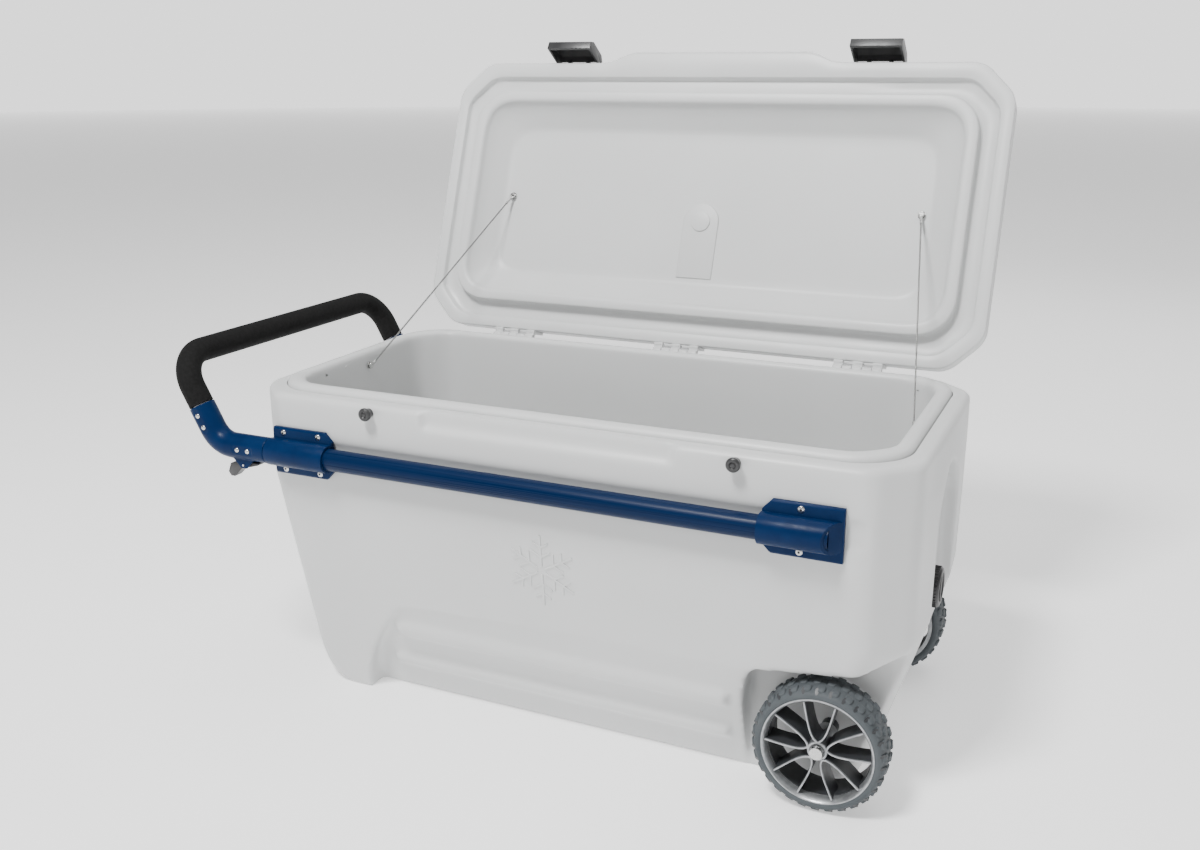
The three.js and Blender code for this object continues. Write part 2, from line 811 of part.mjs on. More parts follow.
// A base plate with two ears that hold the latch's pin.
function latchMount(x, pivotY, pivotZ) {
  const face = lidFront - gap;
  const ear = (at) =>
    join(
      box(x + at - 3, x + at + 3, pivotY, face, pivotZ - 5, pivotZ + 5),
      rod(5, [x + at - 3, pivotY, pivotZ], [x + at + 3, pivotY, pivotZ], 12),
    );
  const base = box(x - 22, x + 22, face - 2, face, pivotZ - 6, pivotZ + 6);
  const pinHole = rodX(latchPinRadius + gap, x - 60, x + 60, pivotY, pivotZ, 10);
  return cut(join(base, ear(-17), ear(17)), pinHole);
}

// A hollow shell, open towards the tub, with a lip at its free end that hooks under the knob.
function latchBody(x, pivotY, pivotZ, lipTop) {
  const half = latchWidth / 2;
  const top = pivotZ + latchTop;
  const bottom = lipTop - latchLip;
  const front = pivotY - latchDepth + 5;
  const back = pivotY + 3.5;
  const outside = [
    [front, bottom + 10],
    [front + 6, bottom],
    [back, bottom],
    [back, top - 4],
    [back - 4, top],
    [front + 7, top],
    [front, top - 9],
  ];
  const inside = [
    [front + latchWall, bottom + 11],
    [front + 7, lipTop],
    [back + 10, lipTop],
    [back + 10, top + 10],
    [pivotY - 6.8, top + 10],
    [pivotY - 6.8, top - latchWall],
    [front + 8, top - latchWall],
    [front + latchWall, top - 10],
  ];
  const hollow = endPlate(inside, x - half + latchWall, x + half - latchWall);
  const pinHole = rodX(latchPinRadius + gap, x - half - 2, x + half + 2, pivotY, pivotZ, 10);
  return cut(endPlate(outside, x - half, x + half), hollow, pinHole);
}

// ---- Cable stays ----

// A point of the closed lid, carried to where the open lid holds it.
function opened([x, y, z]) {
  const point = new THREE.Vector3(x, y - hingeY, z - hingeZ);
  point.applyAxisAngle(new THREE.Vector3(1, 0, 0), THREE.MathUtils.degToRad(-openAngle));
  return [point.x, point.y + hingeY, point.z + hingeZ];
}

function makeStays() {
  const eye = (x, y, z, direction) => {
    const axis = new THREE.Vector3(...direction);
    const place = new THREE.Vector3(x, y, z);
    const along = (t) => place.clone().addScaledVector(axis, t).toArray();
    return join(rod(6, along(2 * gap), along(3), 14), rod(3.6, along(2), along(6.5), 12));
  };
  for (const [side, sign] of [["left", -1], ["right", 1]]) {
    const wallX = sign * (halfLength - openingInset - (sign < 0 ? 1.6 : 1) * linerDraft * stayTubDrop);
    const tubPlace = [wallX, stayTubY, tubHeight - stayTubDrop];
    add("stay_anchor_tub_" + side, eye(...tubPlace, [-sign, 0, 0]), "steel");
    const lidPlace = [sign * stayLidX, stayLidY, lidBottom + recessDepth];
    addToLid("stay_anchor_lid_" + side, eye(...lidPlace, [0, 0, -1]), "steel");
    const from = new THREE.Vector3(tubPlace[0] - sign * 5, tubPlace[1], tubPlace[2]);
    const to = new THREE.Vector3(...opened([lidPlace[0], lidPlace[1], lidPlace[2] - 5]));
    const reach = to.clone().sub(from).normalize().multiplyScalar(7.5);
    from.add(reach);
    to.sub(reach);
    add("stay_cable_" + side, rod(cableRadius, from.toArray(), to.toArray(), 8), "steel");
  }
}

// ---- Rails, brackets and pull handle ----

function makeRails() {
  const start = leftBracketX - bracketLength / 2 + 2;
  const end = rightBracketX + bracketLength / 2 - bracketCap;
  for (const [place, side] of [["front", -1], ["rear", 1]]) {
    const y = side * railY;
    const rail = cut(
      rodX(railRadius, start, end, y, railHeight),
      rodX(railRadius - railWall, start - 5, end + 5, y, railHeight),
    );
    add("rail_" + place, rail, "blue");
    add("bracket_left_" + place, railBracket(side, leftBracketX, -1, 2 * bracketLength), "blue");
    const reach = end + gap + 4 - (rightBracketX - bracketLength / 2);
    add("bracket_right_" + place, railBracket(side, rightBracketX, 1, reach), "blue");
  }
}

// A flanged plate with a half-round cover over the rail; end is 1 where the cover faces the wheel end.
// The rail's channel reaches so far in from the bracket's forward edge, measured along X.
function railBracket(side, x, end, channelReach) {
  const x0 = x - bracketLength / 2;
  const x1 = x + bracketLength / 2;
  const low = railHeight - bracketHeight / 2;
  const high = railHeight + bracketHeight / 2;
  const inner = end > 0 ? x0 : x1;
  const outer = end > 0 ? x1 : x0;
  const step = end * 10;
  const outline = corners(
    [
      [outer, low],
      [outer, high],
      [inner + step, high],
      [inner, high - 12],
      [inner, low + 12],
      [inner + step, low],
    ].map(([px, pz]) => new THREE.Vector2(px, pz)),
  ).map((p) => [p.x, p.y]);
  const wallY = side * (halfWidth + gap);
  const plateOut = side * (halfWidth + gap + bracketPlate);
  const plate = sidePlate(outline, Math.min(wallY, plateOut), Math.max(wallY, plateOut));
  const y = side * railY;
  const lead = end > 0 ? 2 : 0;
  const tail = end > 0 ? 2 : 1;
  const cover = rodX(railRadius + bracketWall + gap, x0 + lead, x1 - tail, y, railHeight, 28);
  const far = side * (halfWidth - 40);
  const trim = box(x0 - 5, x1 + 5, Math.min(wallY, far), Math.max(wallY, far), low - 5, high + 5);
  const channel = rodX(railRadius + gap, x0 - 5, x0 + channelReach, y, railHeight, 28);
  return cut(join(plate, cover), trim, channel);
}

// The points of the grip from one elbow's leg round to the other's, starting part of the way up the leg.
function gripPoints(start) {
  const lean = THREE.MathUtils.degToRad(elbowLegAngle);
  const up = new THREE.Vector3(-Math.cos(lean), 0, Math.sin(lean));
  const top = gripRise / Math.sin(lean);
  const at = (side, along, inward = 0) =>
    new THREE.Vector3(elbowBendX, side * (railY - inward), railHeight).addScaledVector(up, along);
  const half = (side) => {
    const bend = new THREE.CubicBezierCurve3(
      at(side, top - gripCorner),
      at(side, top - gripCorner * 0.45),
      at(side, top, gripCorner * 0.45),
      at(side, top, gripCorner),
    );
    return [at(side, start), ...bend.getPoints(6)];
  };
  return [...half(-1), ...half(1).reverse()];
}

function makeHandle() {
  const lean = THREE.MathUtils.degToRad(elbowLegAngle);
  const up = [-Math.cos(lean), Math.sin(lean)];
  const elbowStart = leftBracketX - bracketLength / 2 - 1.5;
  for (const [place, side] of [["front", -1], ["rear", 1]]) {
    const y = side * railY;
    const tubeStart = elbowBendX + 20;
    const tubeEnd = tubeStart + innerTubeLength;
    const innerTube = cut(
      rodX(innerTubeRadius, tubeStart, tubeEnd, y, railHeight, 20),
      rodX(innerTubeRadius - innerTubeWall, tubeStart - 5, tubeEnd + 5, y, railHeight, 16),
    );
    add("handle_tube_" + place, innerTube, "steel");

    const onLeg = (t) => new THREE.Vector3(elbowBendX + up[0] * t, y, railHeight + up[1] * t);
    const legEnd = onLeg(elbowLegLength);
    const bend = new THREE.QuadraticBezierCurve3(
      new THREE.Vector3(elbowBendX + 24, y, railHeight),
      onLeg(0),
      onLeg(24),
    );
    const route = [new THREE.Vector3(elbowStart, y, railHeight), ...bend.getPoints(5), legEnd];
    const casting = swept(route, elbowRadius, 0, 18);
    const socket = rodX(innerTubeRadius + gap, tubeStart - gap, elbowStart + 30, y, railHeight, 20);
    const legTop = onLeg(elbowLegLength + 10).toArray();
    const legBottom = onLeg(elbowLegLength - elbowSocket + 10).toArray();
    const legSocket = rod(innerTubeRadius + gap, legBottom, legTop, 20);
    const pinZ = railHeight - leverDrop;
    const ear = (offset) =>
      sidePlate(
        [
          [leverX - 17, railHeight - elbowRadius + 4],
          [leverX - 5, pinZ - 5],
          [leverX + 5, pinZ - 5],
          [leverX + 17, railHeight - elbowRadius + 4],
        ],
        y + offset - 1.5,
        y + offset + 1.5,
      );
    const pinHole = rodY(leverPinRadius + gap, y - 15, y + 15, leverX, pinZ, 10);
    const elbow = cut(join(casting, ear(-9), ear(9)), socket, legSocket, pinHole);
    add("handle_elbow_" + place, elbow, "blue");

    add("lever_pin_" + place, rodY(leverPinRadius, y - 11.5, y + 11.5, leverX, pinZ, 10), "steel");
    const leverOutline = [
      [leverX - 31, pinZ - 14],
      [leverX - 27, pinZ - 20],
      [leverX - 20, pinZ - 20],
      [leverX - 6, pinZ - 6],
      [leverX + 8, pinZ - 3],
      [leverX + 22, pinZ + 1],
      [leverX + 23, pinZ + 4],
      [leverX - 18, pinZ + 1.5],
      [leverX - 26, pinZ - 1],
    ];
    const lever = cut(sidePlate(leverOutline, y - 7, y + 7), pinHole);
    add("lock_lever_" + place, lever, "black");
  }
  const legFree = elbowLegLength - elbowSocket + 12;
  const core = swept(gripPoints(legFree), innerTubeRadius, innerTubeRadius - innerTubeWall, 14);
  add("grip_core_tube", core, "steel");
  const foam = swept(gripPoints(elbowLegLength + 1), foamRadius, innerTubeRadius + 2 * gap, 14);
  add("grip_foam", foam, "softBlack");
}

// ---- Wheels and axle ----

function petalSolid(index, x, y0, y1) {
  const centre = THREE.MathUtils.degToRad(90 + (360 / petals) * index);
  const outer = rimRadius - rimWall + 1;
  const polar = (radius, degrees) => {
    const angle = centre + THREE.MathUtils.degToRad(degrees);
    return new THREE.Vector2(x + radius * Math.cos(angle), wheelZ + radius * Math.sin(angle));
  };
  const leg = (sign) =>
    new THREE.CubicBezierCurve(
      polar(outer, sign * petalHalfAngle),
      polar(42, sign * petalHalfAngle * 1.15),
      polar(19, sign * petalHalfAngle * 1.9),
      polar(hubRadius - 0.5, 0),
    ).getPoints(6);
  const line = [...leg(1), ...leg(-1).reverse().slice(1)];
  const side = (sign) =>
    line.map((point, i) => {
      const before = line[Math.max(0, i - 1)];
      const after = line[Math.min(line.length - 1, i + 1)];
      const normal = new THREE.Vector2(before.y - after.y, after.x - before.x).normalize();
      return point.clone().addScaledVector(normal, (sign * petalWall) / 2);
    });
  const outline = corners([...side(1), ...side(-1).reverse()]);
  return sidePlate(outline.map((p) => [p.x, p.y]), y0, y1);
}

function makeWheels() {
  const inner = wheelOuterY - tyreWidth;
  const hubOuter = wheelOuterY - hubSink;
  const axleEnd = hubOuter + 5;
  add("axle", rodY(axleRadius, -axleEnd, axleEnd, wheelX, wheelZ, 20), "steel");
  const bore = rodY(axleRadius + runningGap, -halfWidth - 20, halfWidth + 20, wheelX, wheelZ, 24);
  for (const [place, side] of [["front", -1], ["rear", 1]]) {
    const bead = rimRadius - 2.3;
    const tyre = [
      [bead + gap, 2],
      [tyreRadius - 8, 0],
      [tyreRadius - 3, 4],
      [tyreRadius, 12],
      [tyreRadius, tyreWidth - 12],
      [tyreRadius - 3, tyreWidth - 4],
      [tyreRadius - 8, tyreWidth],
      [bead + gap, tyreWidth - 2],
      [bead + gap, 2],
    ];
    add("tyre_" + place, turned(tyre, wheelX, side * inner, wheelZ, side, 40), "tyre");
    const barrel = [
      [rimRadius - rimWall - 2.3, 1],
      [bead, 1],
      [bead, tyreWidth - 1.5],
      [rimRadius - rimWall - 2.3, tyreWidth - 1.5],
      [rimRadius - rimWall - 2.3, 1],
    ];
    const hub = [
      [axleRadius + runningGap, 0],
      [hubRadius, 0],
      [hubRadius, tyreWidth - hubSink],
      [axleRadius + runningGap, tyreWidth - hubSink],
      [axleRadius + runningGap, 0],
    ];
    const petalOut = side * (wheelOuterY - 3);
    const petalIn = side * (wheelOuterY - 3 - petalDepth);
    const ring = turned(barrel, wheelX, side * inner, wheelZ, side, 40);
    const centre = turned(hub, wheelX, side * inner, wheelZ, side, 24);
    const spokes = Array.from({ length: petals }, (unused, i) =>
      petalSolid(i, wheelX, Math.min(petalIn, petalOut), Math.max(petalIn, petalOut)),
    );
    add("wheel_rim_" + place, cut(join(ring, centre, ...spokes), bore), "rim");

    const nut = [
      [0, axleEnd - hubOuter + gap],
      [axleRadius + gap, axleEnd - hubOuter + gap],
      [axleRadius + gap, gap],
      [9, gap],
      [9, 3],
      [axleRadius + 2, 7],
      [0, 8],
    ];
    add("push_nut_" + place, turned(nut, wheelX, side * hubOuter, wheelZ, side, 20), "steel");
    const spacer = [
      [axleRadius + gap, 0],
      [spacerRadius, 0],
      [spacerRadius, inner - pocketWallY - 3 * gap],
      [axleRadius + gap, inner - pocketWallY - 3 * gap],
      [axleRadius + gap, 0],
    ];
    add("wheel_spacer_" + place, turned(spacer, wheelX, side * (pocketWallY + gap), wheelZ, side, 20), "rim");
  }
}

// ---- Drain ----

function makeDrain() {
  const faceX = halfLength - gripRecessDepth;
  const spoutStart = halfLength - openingInset - linerDraft * (tubHeight - drainHeight) + 0.5;
  const spoutEnd = faceX + 8;
  const ring = (outer, bore, x0, x1) =>
    cut(rodX(outer, x0, x1, 0, drainHeight), rodX(bore, x0 - 5, x1 + 5, 0, drainHeight));
  add("drain_spout", ring(spoutRadius, spoutRadius - 3, spoutStart, spoutEnd), "black");
  const gasket = ring(drainRadius - 3, spoutRadius + gap, faceX + gap, faceX + gap + gasketThickness);
  add("drain_gasket", gasket, "softBlack");
  const capStart = faceX + gasketThickness + 2 * gap;
  const cap = cut(
    rodX(drainRadius, capStart, capStart + drainThickness, 0, drainHeight, 28),
    rodX(spoutRadius + gap, capStart - 5, spoutEnd + gap, 0, drainHeight),
  );
  add("drain_cap", cap, "black");
}

makeTub();
makeLid();
makeHinges();
makeLatches();
makeStays();
makeRails();
makeHandle();
makeWheels();
makeDrain();

export default parts;
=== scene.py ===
import json
import math

import bmesh
import bpy
from mathutils import Matrix, Vector


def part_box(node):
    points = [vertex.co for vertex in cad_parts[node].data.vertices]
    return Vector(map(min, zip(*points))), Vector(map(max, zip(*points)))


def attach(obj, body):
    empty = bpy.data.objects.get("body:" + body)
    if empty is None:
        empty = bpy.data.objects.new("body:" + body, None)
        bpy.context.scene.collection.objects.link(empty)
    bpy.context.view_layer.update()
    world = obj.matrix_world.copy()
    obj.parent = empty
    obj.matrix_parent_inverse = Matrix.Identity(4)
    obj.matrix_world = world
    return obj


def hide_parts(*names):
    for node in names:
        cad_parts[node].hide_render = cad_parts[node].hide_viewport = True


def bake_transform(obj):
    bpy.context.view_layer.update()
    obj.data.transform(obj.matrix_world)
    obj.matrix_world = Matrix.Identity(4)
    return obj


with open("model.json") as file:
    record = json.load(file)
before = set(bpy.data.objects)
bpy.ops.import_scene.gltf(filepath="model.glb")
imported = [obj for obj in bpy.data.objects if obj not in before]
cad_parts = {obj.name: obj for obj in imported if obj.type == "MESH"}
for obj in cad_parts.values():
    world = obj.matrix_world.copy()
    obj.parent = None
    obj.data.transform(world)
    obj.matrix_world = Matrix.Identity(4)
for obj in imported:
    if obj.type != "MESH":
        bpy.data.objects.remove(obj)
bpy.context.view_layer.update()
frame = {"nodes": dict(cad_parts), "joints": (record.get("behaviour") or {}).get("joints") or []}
nodes = frame["nodes"]
joints = {joint["name"]: joint for joint in frame["joints"]}
print("frame loaded:", len(nodes), "nodes")

# camera

cameraSet = {
    "place": (0.6630, -1.4987, 0.8842), "yaw": 24.5307, "pitch": -16.7073, "roll": -0.147, "lens": 36.03,
}


def addCamera():
    yaw, pitch, roll = (math.radians(cameraSet[key]) for key in ("yaw", "pitch", "roll"))
    level = math.cos(pitch)
    forward = Vector((-math.sin(yaw) * level, math.cos(yaw) * level, math.sin(pitch)))
    side = Vector((math.cos(yaw), math.sin(yaw), 0))
    up = side.cross(forward)
    right = math.cos(roll) * side + math.sin(roll) * up
    top = math.cos(roll) * up - math.sin(roll) * side
    data = bpy.data.cameras.new("camera")
    data.lens = cameraSet["lens"]
    data.sensor_width = 36
    camera = bpy.data.objects.new("camera", data)
    bpy.context.scene.collection.objects.link(camera)
    turn = Matrix((right, top, -forward)).transposed().to_4x4()
    camera.matrix_world = Matrix.Translation(cameraSet["place"]) @ turn
    bpy.context.scene.camera = camera


addCamera()

# finishes: each returns a material, with its patterns on Object coordinates or, on the cables, the UV map


def startMaterial(name, colour, roughness, metallic=0.0):
    material = bpy.data.materials.new(name)
    material.use_nodes = True
    tree = material.node_tree
    shader = tree.nodes["Principled BSDF"]
    shader.inputs["Base Color"].default_value = (*colour, 1)
    shader.inputs["Roughness"].default_value = roughness
    shader.inputs["Metallic"].default_value = metallic
    place = tree.nodes.new("ShaderNodeTexCoord")
    return material, tree, shader, place.outputs["Object"]


def noiseOn(tree, place, scale, detail=3.0, stretch=(1, 1, 1)):
    mapping = tree.nodes.new("ShaderNodeMapping")
    mapping.inputs["Scale"].default_value = stretch
    tree.links.new(place, mapping.inputs["Vector"])
    noise = tree.nodes.new("ShaderNodeTexNoise")
    noise.inputs["Scale"].default_value = scale
    noise.inputs["Detail"].default_value = detail
    tree.links.new(mapping.outputs["Vector"], noise.inputs["Vector"])
    return noise.outputs["Fac"]


def spread(tree, value, low, high):
    # a noise value carried to the range low..high
    ranged = tree.nodes.new("ShaderNodeMapRange")
    ranged.inputs["From Min"].default_value = 0.3
    ranged.inputs["From Max"].default_value = 0.7
    ranged.inputs["To Min"].default_value = low
    ranged.inputs["To Max"].default_value = high
    tree.links.new(value, ranged.inputs["Value"])
    return ranged.outputs["Result"]


def unevenGloss(tree, shader, place, scale, low, high):
    tree.links.new(spread(tree, noiseOn(tree, place, scale), low, high), shader.inputs["Roughness"])


def addBump(tree, shader, height, strength, distance, after=None):
    bump = tree.nodes.new("ShaderNodeBump")
    bump.inputs["Strength"].default_value = strength
    bump.inputs["Distance"].default_value = distance
    tree.links.new(height, bump.inputs["Height"])
    if after:
        tree.links.new(after, bump.inputs["Normal"])
    tree.links.new(bump.outputs["Normal"], shader.inputs["Normal"])
    return bump.outputs["Normal"]


def tint(tree, shader, value, dark, light):
    ramp = tree.nodes.new("ShaderNodeValToRGB")
    ramp.color_ramp.elements[0].position = 0.35
    ramp.color_ramp.elements[0].color = (*dark, 1)
    ramp.color_ramp.elements[1].position = 0.65
    ramp.color_ramp.elements[1].color = (*light, 1)
    tree.links.new(value, ramp.inputs["Fac"])
    tree.links.new(ramp.outputs["Color"], shader.inputs["Base Color"])


def whiteMoulding():
    # blow-moulded polyethylene: faint waviness, a fine skin and slightly uneven gloss
    material, tree, shader, place = startMaterial("whiteMoulding", (0.58, 0.586, 0.586), 0.4)
    shader.inputs["Specular IOR Level"].default_value = 0.42
    tint(tree, shader, noiseOn(tree, place, 3.5), (0.566, 0.573, 0.571), (0.594, 0.600, 0.600))
    unevenGloss(tree, shader, place, 9, 0.34, 0.46)
    wave = addBump(tree, shader, noiseOn(tree, place, 14, 1), 0.05, 0.002)
    addBump(tree, shader, noiseOn(tree, place, 900, 2), 0.06, 0.0002, wave)
    return material


def blueAnodised():
    material, tree, shader, place = startMaterial("blueAnodised", (0.0015, 0.014, 0.056), 0.42)
    shader.inputs["Specular IOR Level"].default_value = 0.08
    tint(tree, shader, noiseOn(tree, place, 30), (0.0012, 0.012, 0.050), (0.0018, 0.016, 0.062))
    unevenGloss(tree, shader, place, 160, 0.28, 0.42)
    addBump(tree, shader, noiseOn(tree, place, 1400, 2), 0.08, 0.0001)
    return material


def blueTube():
    # drawn tube, darker than the castings, with fine lines along its length
    material, tree, shader, place = startMaterial("blueTube", (0.0012, 0.011, 0.044), 0.36)
    shader.inputs["Specular IOR Level"].default_value = 0.1
    lines = noiseOn(tree, place, 60, 3, (0.05, 12, 12))
    tint(tree, shader, lines, (0.0010, 0.0095, 0.039), (0.0014, 0.0125, 0.049))
    tree.links.new(spread(tree, lines, 0.24, 0.38), shader.inputs["Roughness"])
    return material


def blackMoulding():
    material, tree, shader, place = startMaterial("blackMoulding", (0.026, 0.026, 0.027), 0.38)
    unevenGloss(tree, shader, place, 45, 0.30, 0.46)
    addBump(tree, shader, noiseOn(tree, place, 1600, 2), 0.16, 0.0002)
    return material


def gripFoam():
    # closed-cell foam: tiny pores over a soft unevenness
    material, tree, shader, place = startMaterial("gripFoam", (0.004, 0.004, 0.004), 0.85)
    shader.inputs["Specular IOR Level"].default_value = 0.2
    cells = tree.nodes.new("ShaderNodeTexVoronoi")
    cells.inputs["Scale"].default_value = 900
    tree.links.new(place, cells.inputs["Vector"])
    soft = addBump(tree, shader, noiseOn(tree, place, 90, 2), 0.15, 0.0006)
    addBump(tree, shader, cells.outputs["Distance"], 0.35, 0.0004, soft)
    tint(tree, shader, noiseOn(tree, place, 220), (0.003, 0.003, 0.003), (0.006, 0.006, 0.006))
    return material


def brightSteel():
    material, tree, shader, place = startMaterial("brightSteel", (0.56, 0.56, 0.55), 0.26, 1.0)
    unevenGloss(tree, shader, place, 300, 0.18, 0.36)
    addBump(tree, shader, noiseOn(tree, place, 2200, 2), 0.08, 0.0001)
    return material


def cableSteel():
    # twisted wire rope: slanting bands along the cable's own length, from its UV map
    material, tree, shader = startMaterial("cableSteel", (0.30, 0.30, 0.29), 0.4, 0.9)[:3]
    uv = tree.nodes.new("ShaderNodeUVMap")
    bands = tree.nodes.new("ShaderNodeTexWave")
    bands.wave_type = "BANDS"
    bands.bands_direction = "DIAGONAL"
    bands.inputs["Scale"].default_value = 1.0
    stretch = tree.nodes.new("ShaderNodeMapping")
    stretch.inputs["Scale"].default_value = (2, 60, 1)
    tree.links.new(uv.outputs["UV"], stretch.inputs["Vector"])
    tree.links.new(stretch.outputs["Vector"], bands.inputs["Vector"])
    addBump(tree, shader, bands.outputs["Fac"], 0.5, 0.0004)
    # painted shade: the bands' low parts, the grooves between the strands, are tinted darker
    tint(tree, shader, bands.outputs["Fac"], (0.16, 0.16, 0.16), (0.42, 0.42, 0.41))
    return material


def greyTyre():
    material, tree, shader, place = startMaterial("greyTyre", (0.066, 0.075, 0.081), 0.7)
    shader.inputs["Specular IOR Level"].default_value = 0.3
    tint(tree, shader, noiseOn(tree, place, 18), (0.060, 0.069, 0.075), (0.073, 0.082, 0.088))
    unevenGloss(tree, shader, place, 60, 0.58, 0.78)
    addBump(tree, shader, noiseOn(tree, place, 1100, 2), 0.2, 0.0003)
    return material


def darkRimAndSlotShade():
    # the dark plastic of the rim's webs, barrel band and spacers; on the tyre's shoulder slots it is painted
    # shade
    material, tree, shader, place = startMaterial("darkRimAndSlotShade", (0.024, 0.026, 0.029), 0.42)
    unevenGloss(tree, shader, place, 50, 0.34, 0.5)
    addBump(tree, shader, noiseOn(tree, place, 1300, 2), 0.12, 0.0002)
    return material


def silverEdge():
    material, tree, shader, place = startMaterial("silverEdge", (0.34, 0.35, 0.36), 0.36, 0.75)
    tint(tree, shader, noiseOn(tree, place, 120), (0.28, 0.29, 0.30), (0.40, 0.41, 0.42))
    addBump(tree, shader, noiseOn(tree, place, 900, 2), 0.1, 0.0002)
    return material


def darkRecess():
    # near black: the drain gasket's own black rubber, and painted shade for the screw heads' sockets
    material, tree, shader, place = startMaterial("darkRecess", (0.006, 0.006, 0.007), 0.6)
    addBump(tree, shader, noiseOn(tree, place, 800, 2), 0.2, 0.0002)
    return material


def insulationFoam():
    material, tree, shader, place = startMaterial("insulationFoam", (0.72, 0.62, 0.36), 0.95)
    tint(tree, shader, noiseOn(tree, place, 40), (0.66, 0.56, 0.32), (0.78, 0.68, 0.42))
    addBump(tree, shader, noiseOn(tree, place, 300), 0.5, 0.001)
    return material


finishes = {
    make.__name__: make()
    for make in (
        whiteMoulding, blueAnodised, blueTube, blackMoulding, gripFoam, brightSteel, cableSteel,
        greyTyre, darkRimAndSlotShade, silverEdge, darkRecess, insulationFoam,
    )
}
print("finishes made:", len(finishes))

# shared shaping tools


def makeMesh(name, points, faces):
    mesh = bpy.data.meshes.new(name)
    mesh.from_pydata([tuple(point) for point in points], [], faces)
    mesh.update()
    thing = bpy.data.objects.new(name, mesh)
    bpy.context.scene.collection.objects.link(thing)
    return thing


def turnOut(thing, reach=1e-6):
    work = bmesh.new()
    work.from_mesh(thing.data)
    bmesh.ops.remove_doubles(work, verts=work.verts, dist=reach)
    bmesh.ops.recalc_face_normals(work, faces=work.faces)
    work.to_mesh(thing.data)
    work.free()
    return thing


def settle(thing):
    # the modifiers' result becomes the plain mesh
    graph = bpy.context.evaluated_depsgraph_get()
    made = bpy.data.meshes.new_from_object(thing.evaluated_get(graph))
    thing.modifiers.clear()
    spent = thing.data
    thing.data = made
    bpy.data.meshes.remove(spent)
    return thing


def combine(thing, others, operation):
    for other in others:
        step = thing.modifiers.new("combine", "BOOLEAN")
        step.operation = operation
        step.solver = "MANIFOLD"
        step.object = other
        settle(thing)
        bpy.data.objects.remove(other)
    return thing


def cut(thing, *others):
    return combine(thing, others, "DIFFERENCE")


def weld(thing, *others):
    return combine(thing, others, "UNION")


def soften(thing, voxel, rounds):
    # one even skin over the whole solid, then its edges eased
    skin = thing.modifiers.new("skin", "REMESH")
    skin.mode = "VOXEL"
    skin.voxel_size = voxel
    ease = thing.modifiers.new("ease", "SMOOTH")
    ease.factor = 0.5
    ease.iterations = rounds
    return settle(thing)


def rounded(thing, width, segments=3, angle=35):
    edge = thing.modifiers.new("edge", "BEVEL")
    edge.width = width
    edge.segments = segments
    edge.limit_method = "ANGLE"
    edge.angle_limit = math.radians(angle)
    edge.harden_normals = False
    return settle(thing)


def shadeSmooth(thing, angle=40):
    for polygon in thing.data.polygons:
        polygon.use_smooth = True
    work = bmesh.new()
    work.from_mesh(thing.data)
    limit = math.radians(angle)
    for edge in work.edges:
        edge.smooth = len(edge.link_faces) == 2 and edge.calc_face_angle(0) < limit
    work.to_mesh(thing.data)
    work.free()
    return thing


def dress(thing, finish, body, replaces=(), angle=40):
    # finish, body and what it stands for
    thing.data.materials.clear()
    thing.data.materials.append(finishes[finish])
    shadeSmooth(thing, angle)
    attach(thing, body)
    if replaces:
        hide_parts(*replaces)
    return thing


def fullTurn(count):
    return [2 * math.pi * i / count for i in range(count)]


def block(name, low, high):
    corners = [(x, y, z) for x in (low[0], high[0]) for y in (low[1], high[1]) for z in (low[2], high[2])]
    faces = [(0, 1, 3, 2), (4, 6, 7, 5), (0, 4, 5, 1), (2, 3, 7, 6), (0, 2, 6, 4), (1, 5, 7, 3)]
    return turnOut(makeMesh(name, corners, faces))


def prism(name, outline, axis, low, high):
    # an outline in the two other axes, carried from low to high along this one
    order = {"x": (2, 0, 1), "y": (0, 2, 1), "z": (0, 1, 2)}[axis]
    count = len(outline)
    points = [[(a, b, c)[k] for k in order] for c in (low, high) for a, b in outline]
    sides = [(i, (i + 1) % count, count + (i + 1) % count, count + i) for i in range(count)]
    caps = [tuple(range(count)), tuple(range(count, 2 * count))]
    return turnOut(makeMesh(name, points, sides + caps))


def loft(name, rings):
    count = len(rings[0])
    points = [point for ring in rings for point in ring]
    faces = []
    for level in range(len(rings) - 1):
        for i in range(count):
            a = level * count + i
            b = level * count + (i + 1) % count
            faces.append((a, b, b + count, a + count))
    faces.append(tuple(reversed(range(count))))
    faces.append(tuple(range((len(rings) - 1) * count, len(rings) * count)))
    return turnOut(makeMesh(name, points, faces))


def closedLoft(name, rings):
    # rings that run round a section and meet again, such as a rim or a hollow tray's wall
    count = len(rings[0])
    points = [point for ring in rings for point in ring]
    total = len(rings)
    faces = []
    for level in range(total):
        for i in range(count):
            a = level * count + i
            b = level * count + (i + 1) % count
            shift = ((level + 1) % total - level) * count
            faces.append((a, b, b + shift, a + shift))
    return turnOut(makeMesh(name, points, faces))


def lathe(name, profile, centre, axis="y", side=1, sides=64):
    # [radius, height] pairs turned about an axis; the profile closes on itself or on the axis
    rings = []
    for angle in fullTurn(sides):
        ring = []
        for radius, height in profile:
            a = radius * math.cos(angle)
            b = radius * math.sin(angle)
            local = {"y": (a, side * height, b), "x": (side * height, a, b), "z": (a, b, side * height)}[axis]
            ring.append(Vector(centre) + Vector(local))
        rings.append(ring)
    return closedLoft(name, rings)


def sweep(name, route, radius, bore=0.0, sides=40):
    # a round bar or tube that follows a route in one plane or nearly so
    frames = []
    normal = None
    for i, place in enumerate(route):
        before = route[max(0, i - 1)]
        after = route[min(len(route) - 1, i + 1)]
        tangent = (after - before).normalized()
        if normal is None:
            normal = tangent.orthogonal().normalized()
        normal = (normal - tangent * normal.dot(tangent)).normalized()
        frames.append((place, normal, tangent.cross(normal)))

    def ring(frameAt, size):
        place, across, other = frameAt
        return [place + size * (math.cos(t) * across + math.sin(t) * other) for t in fullTurn(sides)]

    rings = [ring(item, radius) for item in frames]
    if bore:
        rings += [ring(item, bore) for item in reversed(frames)]
        return closedLoft(name, rings)
    return loft(name, rings)


